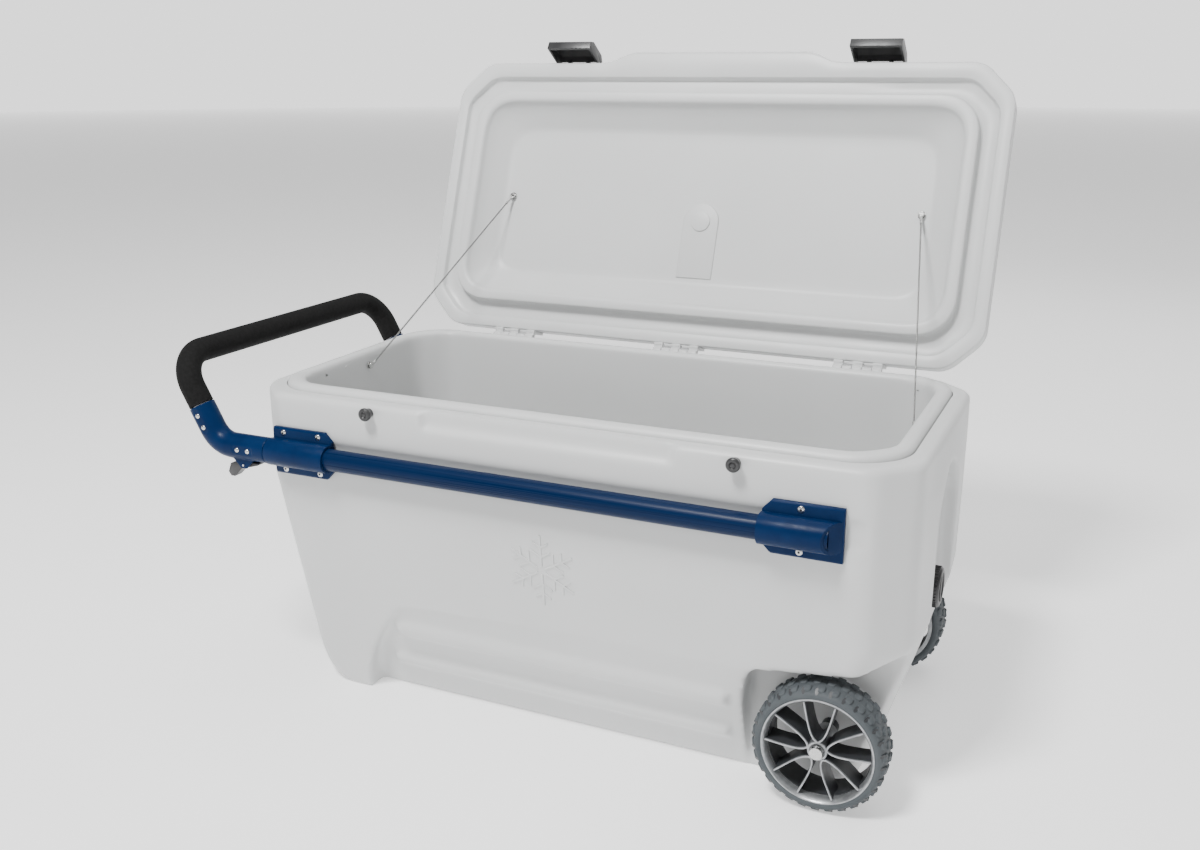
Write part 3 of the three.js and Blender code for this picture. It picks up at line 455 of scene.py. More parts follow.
def rod(name, radius, start, end, sides=48, bore=0.0):
    return sweep(name, [Vector(start), Vector(end)], radius, bore, sides)


def copyOf(name, node):
    # a CAD node's closed shape at its place in the frame, ready for shaping
    source = nodes[node]
    copy = bpy.data.objects.new(name, source.data.copy())
    bpy.context.scene.collection.objects.link(copy)
    copy.data.transform(source.matrix_world)
    return turnOut(copy, 1e-5)


def softCorners(corners, softness, steps=8):
    points = []
    count = len(corners)
    for i, corner in enumerate(corners):
        before = corners[i - 1]
        after = corners[(i + 1) % count]
        start = corner.lerp(before, min(softness / (before - corner).length, 0.45))
        end = corner.lerp(after, min(softness / (after - corner).length, 0.45))
        for step in range(steps + 1):
            t = step / steps
            points.append((1 - t) ** 2 * start + 2 * t * (1 - t) * corner + t * t * end)
    return points


def plan(left, right, front, back, chamfer, softness=0.016, bow=0.0):
    # a rectangle with slanting corners, its right end a little bowed
    middle = (front + back) / 2
    reach = (back - front) / 2 - chamfer - 0.1
    corners = [(left + chamfer, front), (right - chamfer, front), (right, front + chamfer)]
    corners += [(right + bow, middle - reach), (right + bow, middle + reach)]
    corners += [(right, back - chamfer), (right - chamfer, back), (left + chamfer, back)]
    corners += [(left, back - chamfer), (left, front + chamfer)]
    return softCorners([Vector(corner) for corner in corners], softness)


def lift(points, z):
    return [Vector((point.x, point.y, z)) for point in points]


# repeats, by Geometry Nodes


def addInput(tree, name, kind):
    return tree.interface.new_socket(name=name, in_out="INPUT", socket_type=kind).identifier


def startTree(name):
    tree = bpy.data.node_groups.new(name, "GeometryNodeTree")
    tree.interface.new_socket(name="Geometry", in_out="INPUT", socket_type="NodeSocketGeometry")
    tree.interface.new_socket(name="Geometry", in_out="OUTPUT", socket_type="NodeSocketGeometry")
    return tree, tree.nodes.new("NodeGroupInput"), tree.nodes.new("NodeGroupOutput")


def endTree(tree, source, shape, output):
    real = tree.nodes.new("GeometryNodeRealizeInstances")
    paint = tree.nodes.new("GeometryNodeSetMaterial")
    tree.links.new(shape, real.inputs["Geometry"])
    tree.links.new(real.outputs["Geometry"], paint.inputs["Geometry"])
    tree.links.new(source.outputs["Material"], paint.inputs["Material"])
    tree.links.new(paint.outputs["Geometry"], output.inputs["Geometry"])


def ringTree():
    # copies of one shape, evenly turned about an axle
    tree, source, output = startTree("copiesRoundAnAxle")
    keys = {
        "Count": addInput(tree, "Count", "NodeSocketInt"),
        "Step": addInput(tree, "Step", "NodeSocketVector"),
        "Centre": addInput(tree, "Centre", "NodeSocketVector"),
        "Material": addInput(tree, "Material", "NodeSocketMaterial"),
    }
    whole = tree.nodes.new("GeometryNodeGeometryToInstance")
    copies = tree.nodes.new("GeometryNodeDuplicateElements")
    copies.domain = "INSTANCE"
    turn = tree.nodes.new("GeometryNodeRotateInstances")
    turn.inputs["Local Space"].default_value = False
    angle = tree.nodes.new("ShaderNodeVectorMath")
    angle.operation = "SCALE"
    tree.links.new(source.outputs["Geometry"], whole.inputs["Geometry"])
    tree.links.new(whole.outputs["Instances"], copies.inputs["Geometry"])
    tree.links.new(source.outputs["Count"], copies.inputs["Amount"])
    tree.links.new(source.outputs["Step"], angle.inputs["Vector"])
    tree.links.new(copies.outputs["Duplicate Index"], angle.inputs["Scale"])
    tree.links.new(copies.outputs["Geometry"], turn.inputs["Instances"])
    tree.links.new(angle.outputs["Vector"], turn.inputs["Rotation"])
    tree.links.new(source.outputs["Centre"], turn.inputs["Pivot Point"])
    endTree(tree, source, turn.outputs["Instances"], output)
    return tree, keys


def headTree():
    # a domed fastener head on every point, facing the way that the point's facing attribute says
    tree, source, output = startTree("fastenerHeads")
    keys = {
        "Radius": addInput(tree, "Radius", "NodeSocketFloat"),
        "Height": addInput(tree, "Height", "NodeSocketFloat"),
        "Material": addInput(tree, "Material", "NodeSocketMaterial"),
    }
    dome = tree.nodes.new("GeometryNodeMeshUVSphere")
    dome.inputs["Segments"].default_value = 16
    dome.inputs["Rings"].default_value = 8
    tree.links.new(source.outputs["Radius"], dome.inputs["Radius"])
    size = tree.nodes.new("ShaderNodeCombineXYZ")
    size.inputs["X"].default_value = 1
    size.inputs["Y"].default_value = 1
    ratio = tree.nodes.new("ShaderNodeMath")
    ratio.operation = "DIVIDE"
    tree.links.new(source.outputs["Height"], ratio.inputs[0])
    tree.links.new(source.outputs["Radius"], ratio.inputs[1])
    tree.links.new(ratio.outputs["Value"], size.inputs["Z"])
    facing = tree.nodes.new("GeometryNodeInputNamedAttribute")
    facing.data_type = "FLOAT_VECTOR"
    facing.inputs["Name"].default_value = "facing"
    align = tree.nodes.new("FunctionNodeAlignRotationToVector")
    align.axis = "Z"
    tree.links.new(facing.outputs["Attribute"], align.inputs["Vector"])
    place = tree.nodes.new("GeometryNodeInstanceOnPoints")
    tree.links.new(source.outputs["Geometry"], place.inputs["Points"])
    tree.links.new(dome.outputs["Mesh"], place.inputs["Instance"])
    tree.links.new(align.outputs["Rotation"], place.inputs["Rotation"])
    tree.links.new(size.outputs["Vector"], place.inputs["Scale"])
    endTree(tree, source, place.outputs["Instances"], output)
    return tree, keys


ringCopies = ringTree()
fastenerHeads = headTree()


def runTree(thing, made, values):
    tree, keys = made
    step = thing.modifiers.new("repeat", "NODES")
    step.node_group = tree
    for key, value in values.items():
        step[keys[key]] = value
    return settle(thing)


def around(thing, count, step, centre, finish):
    return runTree(thing, ringCopies, {
        "Count": count, "Step": step, "Centre": tuple(centre), "Material": finishes[finish],
    })


def heads(name, places, facing, radius, height, finish, body, slot=None):
    thing = makeMesh(name, places, [])
    stored = thing.data.attributes.new("facing", "FLOAT_VECTOR", "POINT")
    for i in range(len(places)):
        stored.data[i].vector = facing
    runTree(thing, fastenerHeads, {"Radius": radius, "Height": height, "Material": finishes[finish]})
    return dress(thing, finish, body)


# places that come from the frame

shellLow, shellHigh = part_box("tub_shell")
beyond = 0.06  # how far a cutter reaches past the skin that it cuts
halfLength = -shellLow.x
halfWidth = -shellLow.y
tubTop = shellHigh.z
hinge = Vector(joints["lid_hinge"]["pos_m"])
openTurn = math.radians(joints["lid_hinge"]["range_deg"][1])
lidTurn = Matrix.Translation(hinge) @ Matrix.Rotation(-openTurn, 4, "X") @ Matrix.Translation(-hinge)
axleLow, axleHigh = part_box("axle")
wheelCentre = (axleLow + axleHigh) / 2
railLow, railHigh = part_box("rail_front")
railRadius = (railHigh.z - railLow.z) / 2
railHeight = (railHigh.z + railLow.z) / 2
railY = -(railHigh.y + railLow.y) / 2


def middleOf(node):
    low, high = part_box(node)
    return (low + high) / 2


def carryLid(thing):
    # a piece drawn with the lid closed goes to where the open lid holds it
    thing.data.transform(lidTurn)
    return thing


# cable stays

staySet = {
    "radius": 0.0012, "steps": 40, "sleeve": 0.0021, "eye": 0.0042, "wire": 0.0011, "clear": 0.0062,
    "tubSleeve": 0.005, "lidSleeve": 0.016, "twist": 0.01,
}


def stayEnds(side):
    tubLow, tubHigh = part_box("stay_anchor_tub_" + side)
    lidLow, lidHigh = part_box("stay_anchor_lid_" + side)
    tubEnd = (tubLow + tubHigh) / 2
    tubEnd.x = tubHigh.x - 0.001 if side == "left" else tubLow.x + 0.001
    inward = lidTurn.to_3x3() @ Vector((0, 0, -1))
    lidEnd = (lidLow + lidHigh) / 2 + inward * 0.0022
    return tubEnd, lidEnd


def addStay(side):
    tubEnd, lidEnd = stayEnds(side)
    way = (lidEnd - tubEnd).normalized()
    start = tubEnd + way * staySet["clear"]
    end = lidEnd - way * staySet["clear"]
    steps = staySet["steps"]
    route = [start.lerp(end, i / steps) for i in range(steps + 1)]
    cable = sweep("stay_wire_" + side, route, staySet["radius"], 0, 12)
    layer = cable.data.uv_layers.new(name="UVMap")
    across = way.orthogonal().normalized()
    other = way.cross(across)
    for loop in cable.data.loops:
        point = cable.data.vertices[loop.vertex_index].co - start
        turn = math.atan2(point.dot(other), point.dot(across)) / (2 * math.pi)
        layer.data[loop.index].uv = (turn % 1.0, point.dot(way) / staySet["twist"])
    cable.data.materials.append(finishes["cableSteel"])
    shadeSmooth(cable)
    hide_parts("stay_cable_" + side)
    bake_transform(cable)
    # the tub end has a short sleeve, as the closed lid comes close above it
    for body, place, away in (("tub", tubEnd, way), ("lid", lidEnd, -way)):
        outward = Vector((1, 0, 0)) if body == "tub" else lidTurn.to_3x3() @ Vector((0, 0, 1))
        across = away.cross(outward).normalized()
        ring = [
            place + staySet["eye"] * (math.cos(t) * away + math.sin(t) * across)
            for t in fullTurn(24)
        ]
        eye = closedSweep("stay_eye_" + body + "_" + side, ring, staySet["wire"], outward)
        sleeveStart = place + away * (staySet["eye"] + 0.001)
        sleeveEnd = sleeveStart + away * staySet[body + "Sleeve"]
        sleeve = rod("sleeve", staySet["sleeve"], sleeveStart, sleeveEnd, 20)
        weld(eye, sleeve)
        dress(eye, "brightSteel", body)


def closedSweep(name, ring, radius, up, sides=10):
    count = len(ring)
    rings = []
    for i, place in enumerate(ring):
        tangent = (ring[(i + 1) % count] - ring[i - 1]).normalized()
        side = tangent.cross(up).normalized()
        other = tangent.cross(side)
        rings.append([place + radius * (math.cos(t) * side + math.sin(t) * other) for t in fullTurn(sides)])
    return closedLoft(name, rings)


for side in ("left", "right"):
    addStay(side)
print("stays made")

# tub

tubSet = {
    "chamfer": 0.05, "draftTop": 0.32, "draft": 0.1156, "slantTop": 0.215, "slant": 0.31, "bow": 0.006,
    "floor": 0.045, "voxel": 0.0045, "rounds": 2,
}
panelSet = {"top": 0.152, "rise": 0.026, "deep": 0.037, "left": -0.310, "lean": 0.074}
pocketSet = {"reach": 0.107, "brow": 0.168, "rise": 0.038, "wall": 0.155}
ribSet = {"heights": (0.098, 0.044), "tall": (0.030, 0.026), "proud": 0.009}
fingerSet = {"half": 0.176, "height": 0.026, "depth": 0.008}
endSet = {"half": 0.075, "top": 0.400, "depth": 0.013, "slotHalf": 0.045, "slotLow": 0.322, "slotHigh": 0.352}
linerSet = {
    "shoulder": 0.0203, "lip": 0.0085, "opening": 0.042, "draft": 0.04, "lean": 0.2, "leanTop": 0.2,
    "floor": 0.045, "shelf": 0.213, "shelfLength": 0.205, "voxel": 0.005, "rounds": 4, "wall": 0.004,
}


def wallDraft(z):
    return tubSet["draft"] * max(0.0, tubSet["draftTop"] - z)


def tubRing(z, edge):
    slant = tubSet["slant"] * max(0.0, tubSet["slantTop"] - z)
    heel = (tubSet["floor"] - z) ** 2 / 0.09 if z < tubSet["floor"] else 0.0
    bow = tubSet["bow"] * min(1.0, max(0.02, (tubTop - z) / 0.06))
    draft = wallDraft(z)
    outline = plan(
        -halfLength + draft + heel + edge, halfLength - slant - edge,
        -halfWidth + draft + edge, halfWidth - draft - edge,
        tubSet["chamfer"] - edge * 0.4, 0.016, bow,
    )
    return lift(outline, z)


def pocketCutter(side):
    left = wheelCentre.x - pocketSet["reach"]
    brow = pocketSet["brow"]
    rise = pocketSet["rise"]
    outline = [
        (left, -0.02), (left, wheelCentre.z + 0.015), (left + 0.004, brow - 0.032),
        (left + 0.009, brow - 0.012),
        (left + 0.019, brow), (wheelCentre.x + 0.042, brow + rise * 0.42), (halfLength - 0.008, brow + rise),
        (halfLength + beyond, brow + rise * 1.9), (halfLength + beyond, -0.02),
    ]
    low, high = sorted((side * pocketSet["wall"], side * (halfWidth + beyond)))
    return prism("pocket", outline, "y", low, high)


def panelFace(z):
    deep = halfWidth - wallDraft(0) - panelSet["deep"]
    rim = halfWidth - wallDraft(panelSet["top"]) - 0.003
    return deep + (rim - deep) * (z + 0.01) / (panelSet["top"] + 0.01)


def panelCutter(side, grow=0.0):
    # the lower side panel's space, grown by a wall where the foam must miss it
    end = wheelCentre.x - 0.084
    out = side * (halfWidth + beyond)
    low = panelSet["left"] - grow
    high = low + panelSet["lean"]
    top = panelSet["top"]
    steps = 6
    near = side * (panelFace(-0.01) - grow)
    bottom = [(low, near, -0.01), (end, near, -0.01), (end, out, -0.01), (low, out, -0.01)]
    rings = [bottom]
    for i in range(1, steps + 1):
        t = i / steps
        z = -0.01 + (top + grow + 0.01) * t
        far = -0.01 + (top + grow + panelSet["rise"] + 0.01) * t
        x = low + (high - low) * t ** 2.2  # the left edge is a curve that steepens towards its foot
        y = side * (panelFace(z) - grow)
        rings.append([(x, y, z), (end, side * (panelFace(far) - grow), far), (end, out, far), (x, out, z)])
    return loft("panel", [[Vector(point) for point in ring] for ring in rings])


def ribBlock(side, z, tall):
    proud = ribSet["proud"]
    outline = [
        (side * (panelFace(z) - 0.004), z), (side * (panelFace(z) + proud), z + 0.002),
        (side * (panelFace(z + tall * 0.6) + proud), z + tall * 0.6),
        (side * (panelFace(z + tall) - 0.004), z + tall),
    ]
    left = panelSet["left"] + 0.03 + z * 0.3
    return prism("rib", outline, "x", left, wheelCentre.x - pocketSet["reach"] - 0.02)


def railChannel(side):
    half = railRadius + 0.004
    low, high = sorted((side * (halfWidth - 0.0035), side * (halfWidth + 0.05)))
    reach = halfLength - tubSet["chamfer"] - 0.002
    return block("channel", (-reach, low, railHeight - half), (reach, high, railHeight + half))


def fingerCutter():
    half = fingerSet["half"]
    bottom = tubTop - fingerSet["height"]
    outline = [(-half, bottom), (half, bottom), (half + 0.01, tubTop + 0.03), (-half - 0.01, tubTop + 0.03)]
    return prism("finger", outline, "y", -halfWidth - beyond, -halfWidth + fingerSet["depth"])


def endCutters():
    half = endSet["half"]
    centre = endSet["top"] - half
    outline = [(-half, tubSet["slantTop"] - 0.06), (half, tubSet["slantTop"] - 0.06)]
    turns = [math.pi * i / 16 for i in range(17)]
    outline += [(half * math.cos(t), centre + half * math.sin(t)) for t in turns]
    arch = prism("arch", outline, "x", halfLength - endSet["depth"], halfLength + beyond)
    slotHalf = endSet["slotHalf"]
    slotDeep = halfLength - 0.034
    corner = (slotDeep, -slotHalf, endSet["slotLow"])
    slot = block("slot", corner, (halfLength + beyond, slotHalf, endSet["slotHigh"]))
    return arch, slot


def insetRing(inset, z, front=None, lean=0.0, softness=0.03):
    grow = inset + lean
    edge = -halfWidth if front is None else front
    outline = plan(
        -halfLength + grow, halfLength - grow, edge + grow, halfWidth - grow,
        max(0.05 - grow * 0.35, 0.024), softness,
    )
    return lift(outline, z)


def linerRing(grow, z, edge=0.0):
    inset = linerSet["opening"] - grow
    narrow = linerSet["draft"] * (tubTop - z) + linerSet["lean"] * max(0.0, linerSet["leanTop"] - z) + edge
    outline = plan(
        -halfLength + inset + narrow * 1.6, halfLength - inset - narrow,
        -halfWidth + inset + narrow, halfWidth - inset - narrow, 0.038 + grow, 0.024,
    )
    return lift(outline, z)


def linerRoom(grow, top):
    low = linerSet["floor"] - grow
    levels = [
        (low, 0.012), (low + 0.004, 0.006), (low + 0.012, 0.003), (low + 0.03, 0), (linerSet["leanTop"], 0),
        (tubTop, 0),
    ]
    room = loft("room", [linerRing(grow, z, edge) for z, edge in levels] + [linerRing(grow, top, -0.0004)])
    start = halfLength - linerSet["opening"] - linerSet["shelfLength"] + grow
    shelf = linerSet["shelf"] - grow
    outline = [
        (start - 0.026, low - 0.02), (halfLength, low - 0.02), (halfLength, shelf), (start + 0.012, shelf),
        (start, shelf - 0.008),
    ]
    return cut(room, prism("shelf", outline, "y", -halfWidth, halfWidth))


def addTub():
    heights = [0, 0.006, 0.014, 0.028, 0.045, 0.12, tubSet["slantTop"], tubSet["draftTop"], tubTop - 0.06]
    edges = [0.004, 0.0012] + [0] * 7
    crown = [(tubTop - 0.009, 0), (tubTop - 0.005, 0.0009), (tubTop - 0.002, 0.0035), (tubTop, 0.008)]
    rings = [tubRing(z, edge) for z, edge in list(zip(heights, edges)) + crown]
    shell = loft("tub_skin", rings)
    for side in (-1, 1):
        cut(shell, panelCutter(side), pocketCutter(side), railChannel(side))
        for z, tall in zip(ribSet["heights"], ribSet["tall"]):
            weld(shell, ribBlock(side, z, tall))
    cut(shell, fingerCutter(), *endCutters())
    soften(shell, tubSet["voxel"], tubSet["rounds"])

    # the hidden side follows the foam, so the skin is a wall and not a lump
    foam = copyOf("foam", "tub_foam")
    cut(foam, panelCutter(-1, 0.006), panelCutter(1, 0.006))
    core = bpy.data.objects.new("foam_core", foam.data.copy())
    bpy.context.scene.collection.objects.link(core)
    dress(core, "insulationFoam", "tub", ["tub_foam"])
    weld(foam, linerRoom(0.008, tubTop))
    weld(foam, loft("mouth", [insetRing(0.02, tubTop - 0.014), insetRing(0.02, tubTop + 0.03)]))
    cut(shell, foam)
    tunnel = (0.0066, (wheelCentre.x, -halfWidth, wheelCentre.z), (wheelCentre.x, halfWidth, wheelCentre.z))
    drainLow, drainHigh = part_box("drain_spout")
    drainZ = (drainLow.z + drainHigh.z) / 2
    drainRadius = (drainHigh.z - drainLow.z) / 2 + 0.0003
    drainWay = ((drainLow.x - 0.02, 0, drainZ), (drainHigh.x + 0.03, 0, drainZ))
    cut(shell, rod("tunnel", *tunnel), rod("hole", drainRadius, *drainWay))
    dress(shell, "whiteMoulding", "tub", ["tub_shell"], 50)
    print("tub skin:", len(shell.data.polygons), "faces")

    liner = loft("tub_lining", [
        insetRing(linerSet["shoulder"], 0), insetRing(linerSet["shoulder"], tubTop - 0.01),
        insetRing(linerSet["shoulder"], tubTop + linerSet["lip"], lean=0.0015),
    ])
    cut(liner, linerRoom(0, tubTop + 0.03))
    soften(liner, linerSet["voxel"], linerSet["rounds"])
    outside = linerRoom(linerSet["wall"], tubTop - 0.004)
    weld(outside, loft("collar", [insetRing(0.012, tubTop - 0.007), insetRing(0.012, tubTop + 0.02)]))
    combine(liner, [outside], "INTERSECT")
    cut(liner, rod("hole", drainRadius, *drainWay))
    dress(liner, "whiteMoulding", "tub", ["tub_liner"], 50)
    print("tub lining:", len(liner.data.polygons), "faces")


addTub()

# lid, drawn closed

lidSet = {
    "front": 0.006, "gap": 0.0006, "edge": 0.007, "thick": 0.049, "recess": 0.031, "slope": 0.044,
    "groove": 0.0188, "plug": 0.045, "plugWidth": 0.017, "plugDepth": 0.007, "tabHalf": 0.189,
}
lidBase = tubTop + lidSet["gap"]


def lidRing(inset, z, tab=0.0, chamfer=None):
    # the lid's outline; a tab value above 0 pushes the middle of the front edge out
    front = -halfWidth - lidSet["front"]
    shift = lidSet["front"] if inset > 0.015 else 0.0
    corner = max(0.05 - inset * 0.35, 0.024) if chamfer is None else chamfer
    low = front + inset + shift
    left = -halfLength + inset
    half = lidSet["tabHalf"]
    corners = [
        (left + corner, low), (-half, low), (-half + 0.032, low - tab), (half - 0.032, low - tab),
        (half, low),
        (-left - corner, low), (-left, low + corner), (-left, halfWidth - inset - corner),
        (-left - corner, halfWidth - inset), (left + corner, halfWidth - inset),
        (left, halfWidth - inset - corner), (left, low + corner),
    ]
    softness = 0.018 if inset < 0.02 else 0.03 if inset < 0.06 else 0.034
    return lift(softCorners([Vector(point) for point in corners], softness), z)


portSet = {"y": 0.021, "half": 0.030}


def addLidPieces():
    s = lidSet
    top = tubTop + 0.0105
    seam = lidBase + s["edge"]
    inner = s["plug"] + s["plugWidth"]
    deep = lidBase + s["recess"]
    foot = tubTop - s["plugDepth"]
    groove = s["groove"]
    slope = s["slope"]
    # inset, height and how far the tab stands out: the shown side, from the middle out to the seam
    shown = [
        (inner + slope + 0.012, deep, 0), (inner + slope, deep - 0.0004, 0),
        (inner + slope * 0.90, lidBase + s["recess"] * 0.965, 0),
        (inner + slope * 0.78, lidBase + s["recess"] * 0.85, 0),
        (inner + slope * 0.45, lidBase + s["recess"] * 0.50, 0),
        (inner + slope * 0.12, lidBase + s["recess"] * 0.14, 0),
        (inner + 0.0022, lidBase - 0.001, 0), (inner + 0.0012, foot + 0.004, 0),
        (inner - 0.001, foot + 0.001, 0),
        (inner - 0.004, foot, 0), (s["plug"] + 0.0032, foot, 0), (s["plug"] + 0.0012, foot + 0.0008, 0),
        (s["plug"] + 0.0002, foot + 0.003, 0), (s["plug"], top - 0.005, 0),
        (s["plug"] - 0.0006, top - 0.002, 0),
        (s["plug"] - 0.003, top, 0), (groove + 0.003, top, 0), (groove + 0.0006, top - 0.003, 0),
        (groove, lidBase + 0.0012, 0), (groove - 0.0015, lidBase, 0), (0.002, lidBase, 0.014),
        (0.0006, lidBase + 0.0006, 0.0155), (0.0, lidBase + 0.002, 0.016), (0.0, seam, 0.016),
    ]
    hidden = [
        (groove - 0.004, seam, 0), (groove - 0.004, top + 0.004, 0), (inner - 0.001, top + 0.004, 0),
        (inner + slope * 0.62 - 0.002, deep + 0.0012, 0), (inner + slope + 0.008, deep + 0.004, 0),
    ]
    lining = loft("lid_lining", [lidRing(*item) for item in shown + hidden])
    carryLid(lining)
    dress(lining, "whiteMoulding", "lid", ["lid_liner"], 50)

    crest = lidBase + s["thick"]
    start = seam + 0.0003
    inside = [
        (0.012, crest - 0.005, 0), (0.0062, crest - 0.0055, 0), (0.005, crest - 0.008, 0),
        (0.005, start, 0),
    ]
    outside = [
        (0.0, start, 0.020), (0.0, start + 0.0095, 0.020), (0.0004, start + 0.0115, 0.0185),
        (0.0, start + 0.016, 0.002), (0.0, start + 0.018, 0), (0.0, crest - 0.016, 0),
        (0.0008, crest - 0.010, 0),
        (0.0026, crest - 0.0055, 0), (0.0058, crest - 0.0022, 0), (0.0100, crest - 0.0006, 0),
        (0.0148, crest, 0),
    ]
    skin = loft("lid_skin", [lidRing(*item) for item in inside + outside])
    carryLid(skin)
    dress(skin, "whiteMoulding", "lid", ["lid_shell"], 50)

    # foam port in the recess: a disc in an arched relief that runs towards the hinges
    portY = portSet["y"]
    half = portSet["half"]
    arch = [(half, halfWidth - 0.112), (half, portY)]
    turns = [math.pi * i / 20 for i in range(1, 20)]
    arch += [(half * math.cos(t), portY - half * math.sin(t)) for t in turns]
    arch += [(-half, portY), (-half, halfWidth - 0.112)]
    relief = prism("lid_port_relief", arch, "z", deep - 0.0022, deep + 0.001)
    rounded(relief, 0.0018, 3)
    carryLid(relief)
    dress(relief, "whiteMoulding", "lid")
    disc = lathe("lid_port", [
        (0, 0.0012), (0, -0.0046), (0.014, -0.0046), (0.0155, -0.0042), (0.016, -0.003), (0.016, 0.0012),
    ], (0, portY, deep), "z", 1, 48)
    carryLid(disc)
    dress(disc, "whiteMoulding", "lid")


addLidPieces()
print("lid made")

# pieces whose CAD shape is right: a fine-edged copy, or the CAD node with its finish


def fineCopy(name, node, width, segments=2, angle=35):
    copy = copyOf(name, node)
    tidy = copy.modifiers.new("tidy", "DECIMATE")
    tidy.decimate_type = "DISSOLVE"
    tidy.angle_limit = math.radians(1)
    settle(copy)
    return rounded(copy, width, segments, angle)


fineSet = {
    "whiteMoulding": [
        ("hinge_leaf_%s_%d" % (body, i), body, 0.0006) for body in ("tub", "lid") for i in (1, 2, 3)
    ],
    "blackMoulding": [
        ("latch_mount_left", "lid", 0.0008), ("latch_mount_right", "lid", 0.0008),
        ("latch_left", "left_latch", 0.0009), ("latch_right", "right_latch", 0.0009),
        ("lock_lever_front", "front_lever", 0.0012), ("lock_lever_rear", "rear_lever", 0.0012),
    ],
}
for finish, items in fineSet.items():
    for node, body, width in items:
        dress(fineCopy("fine_" + node, node, width), finish, body, [node], 30)

steelNames = ["hinge_pin_1", "hinge_pin_2", "hinge_pin_3", "grip_core_tube", "axle"]
for side in ("left", "right"):
    steelNames += ["latch_pin_" + side, "stay_anchor_tub_" + side, "stay_anchor_lid_" + side]
for place in ("front", "rear"):
    steelNames += ["handle_tube_" + place, "lever_pin_" + place, "push_nut_" + place]
keptSet = {
    "insulationFoam": ["lid_foam"],
    "brightSteel": steelNames,
    "darkRimAndSlotShade": ["wheel_spacer_front", "wheel_spacer_rear"],
    "blackMoulding": ["drain_spout"],
    "darkRecess": ["drain_gasket"],
}
for finish, names in keptSet.items():
    for name in names:
        mesh = nodes[name].data
        mesh.materials.clear()
        mesh.materials.append(finishes[finish])

# catch knobs


def addKnob(side):
    low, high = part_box("catch_knob_" + side)
    centre = (low + high) / 2
    base = Vector((centre.x, high.y, centre.z))
    profile = [
        (0.0032, 0.0), (0.0062, 0.0), (0.0062, 0.0055), (0.0072, 0.0072), (0.0086, 0.0082), (0.0090, 0.0096),
        (0.0090, 0.0116), (0.0084, 0.0130), (0.0072, 0.0138), (0.0056, 0.0140), (0.0044, 0.0137),
        (0.0038, 0.0128),
        (0.0032, 0.0124),
    ]
    knob = lathe("knob_" + side, profile, base, "y", -1, 40)
    dress(knob, "blackMoulding", "tub", ["catch_knob_" + side])
    shank = [(0, 0.003), (0.0031, 0.003), (0.0031, 0.0128), (0.0022, 0.0134), (0, 0.0136)]
    screw = lathe("knob_screw_" + side, shank, base, "y", -1, 24)
    dress(screw, "blackMoulding", "tub")


for side in ("left", "right"):
    addKnob(side)

# rails and brackets

railWall = 0.0017
bracketSet = {
    "gap": 0.0003, "plate": 0.006, "edge": 0.0015, "reach": 0.0335, "wall": 0.0043, "steps": 14,
    "slant": 0.034,
    "screw": 0.0046, "screwHigh": 0.0022, "screwRise": 0.0262, "socket": 0.0016, "socketHigh": 0.0004,
    "room": 0.05,
}


def addRail(place):
    low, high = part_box("rail_" + place)
    centre = (low + high) / 2
    start = (low.x, centre.y, centre.z)
    stop = (high.x, centre.y, centre.z)
    rail = rod("tube_" + place, railRadius, start, stop, 64, railRadius - railWall)
    dress(rail, "blueTube", "tub", ["rail_" + place])


def bracketSection(side, flat):
    # from the upper flange over the half-round cover to the lower flange, in Y and Z
    wall = halfWidth + bracketSet["gap"]
    cover = railRadius + bracketSet["wall"]
    reach = bracketSet["reach"]
    points = [(wall, reach), (wall + 0.0045, reach), (wall + bracketSet["plate"], reach - 0.0025)]
    begin = math.asin(min(1.0, (bracketSet["plate"] + 0.0012 - (railY - halfWidth)) / cover))
    steps = bracketSet["steps"]
    for i in range(steps + 1):
        turn = math.pi / 2 - begin - (math.pi - 2 * begin) * i / steps
        y = railY + cover * math.cos(turn)
        z = cover * math.sin(turn)
        if flat:
            y = min(y, railY + cover * 0.92)
        points.append((y, z))
    points += [(wall + bracketSet["plate"], 0.0025 - reach), (wall + 0.0045, -reach), (wall, -reach)]
    return [(side * y, railHeight + z) for y, z in points]


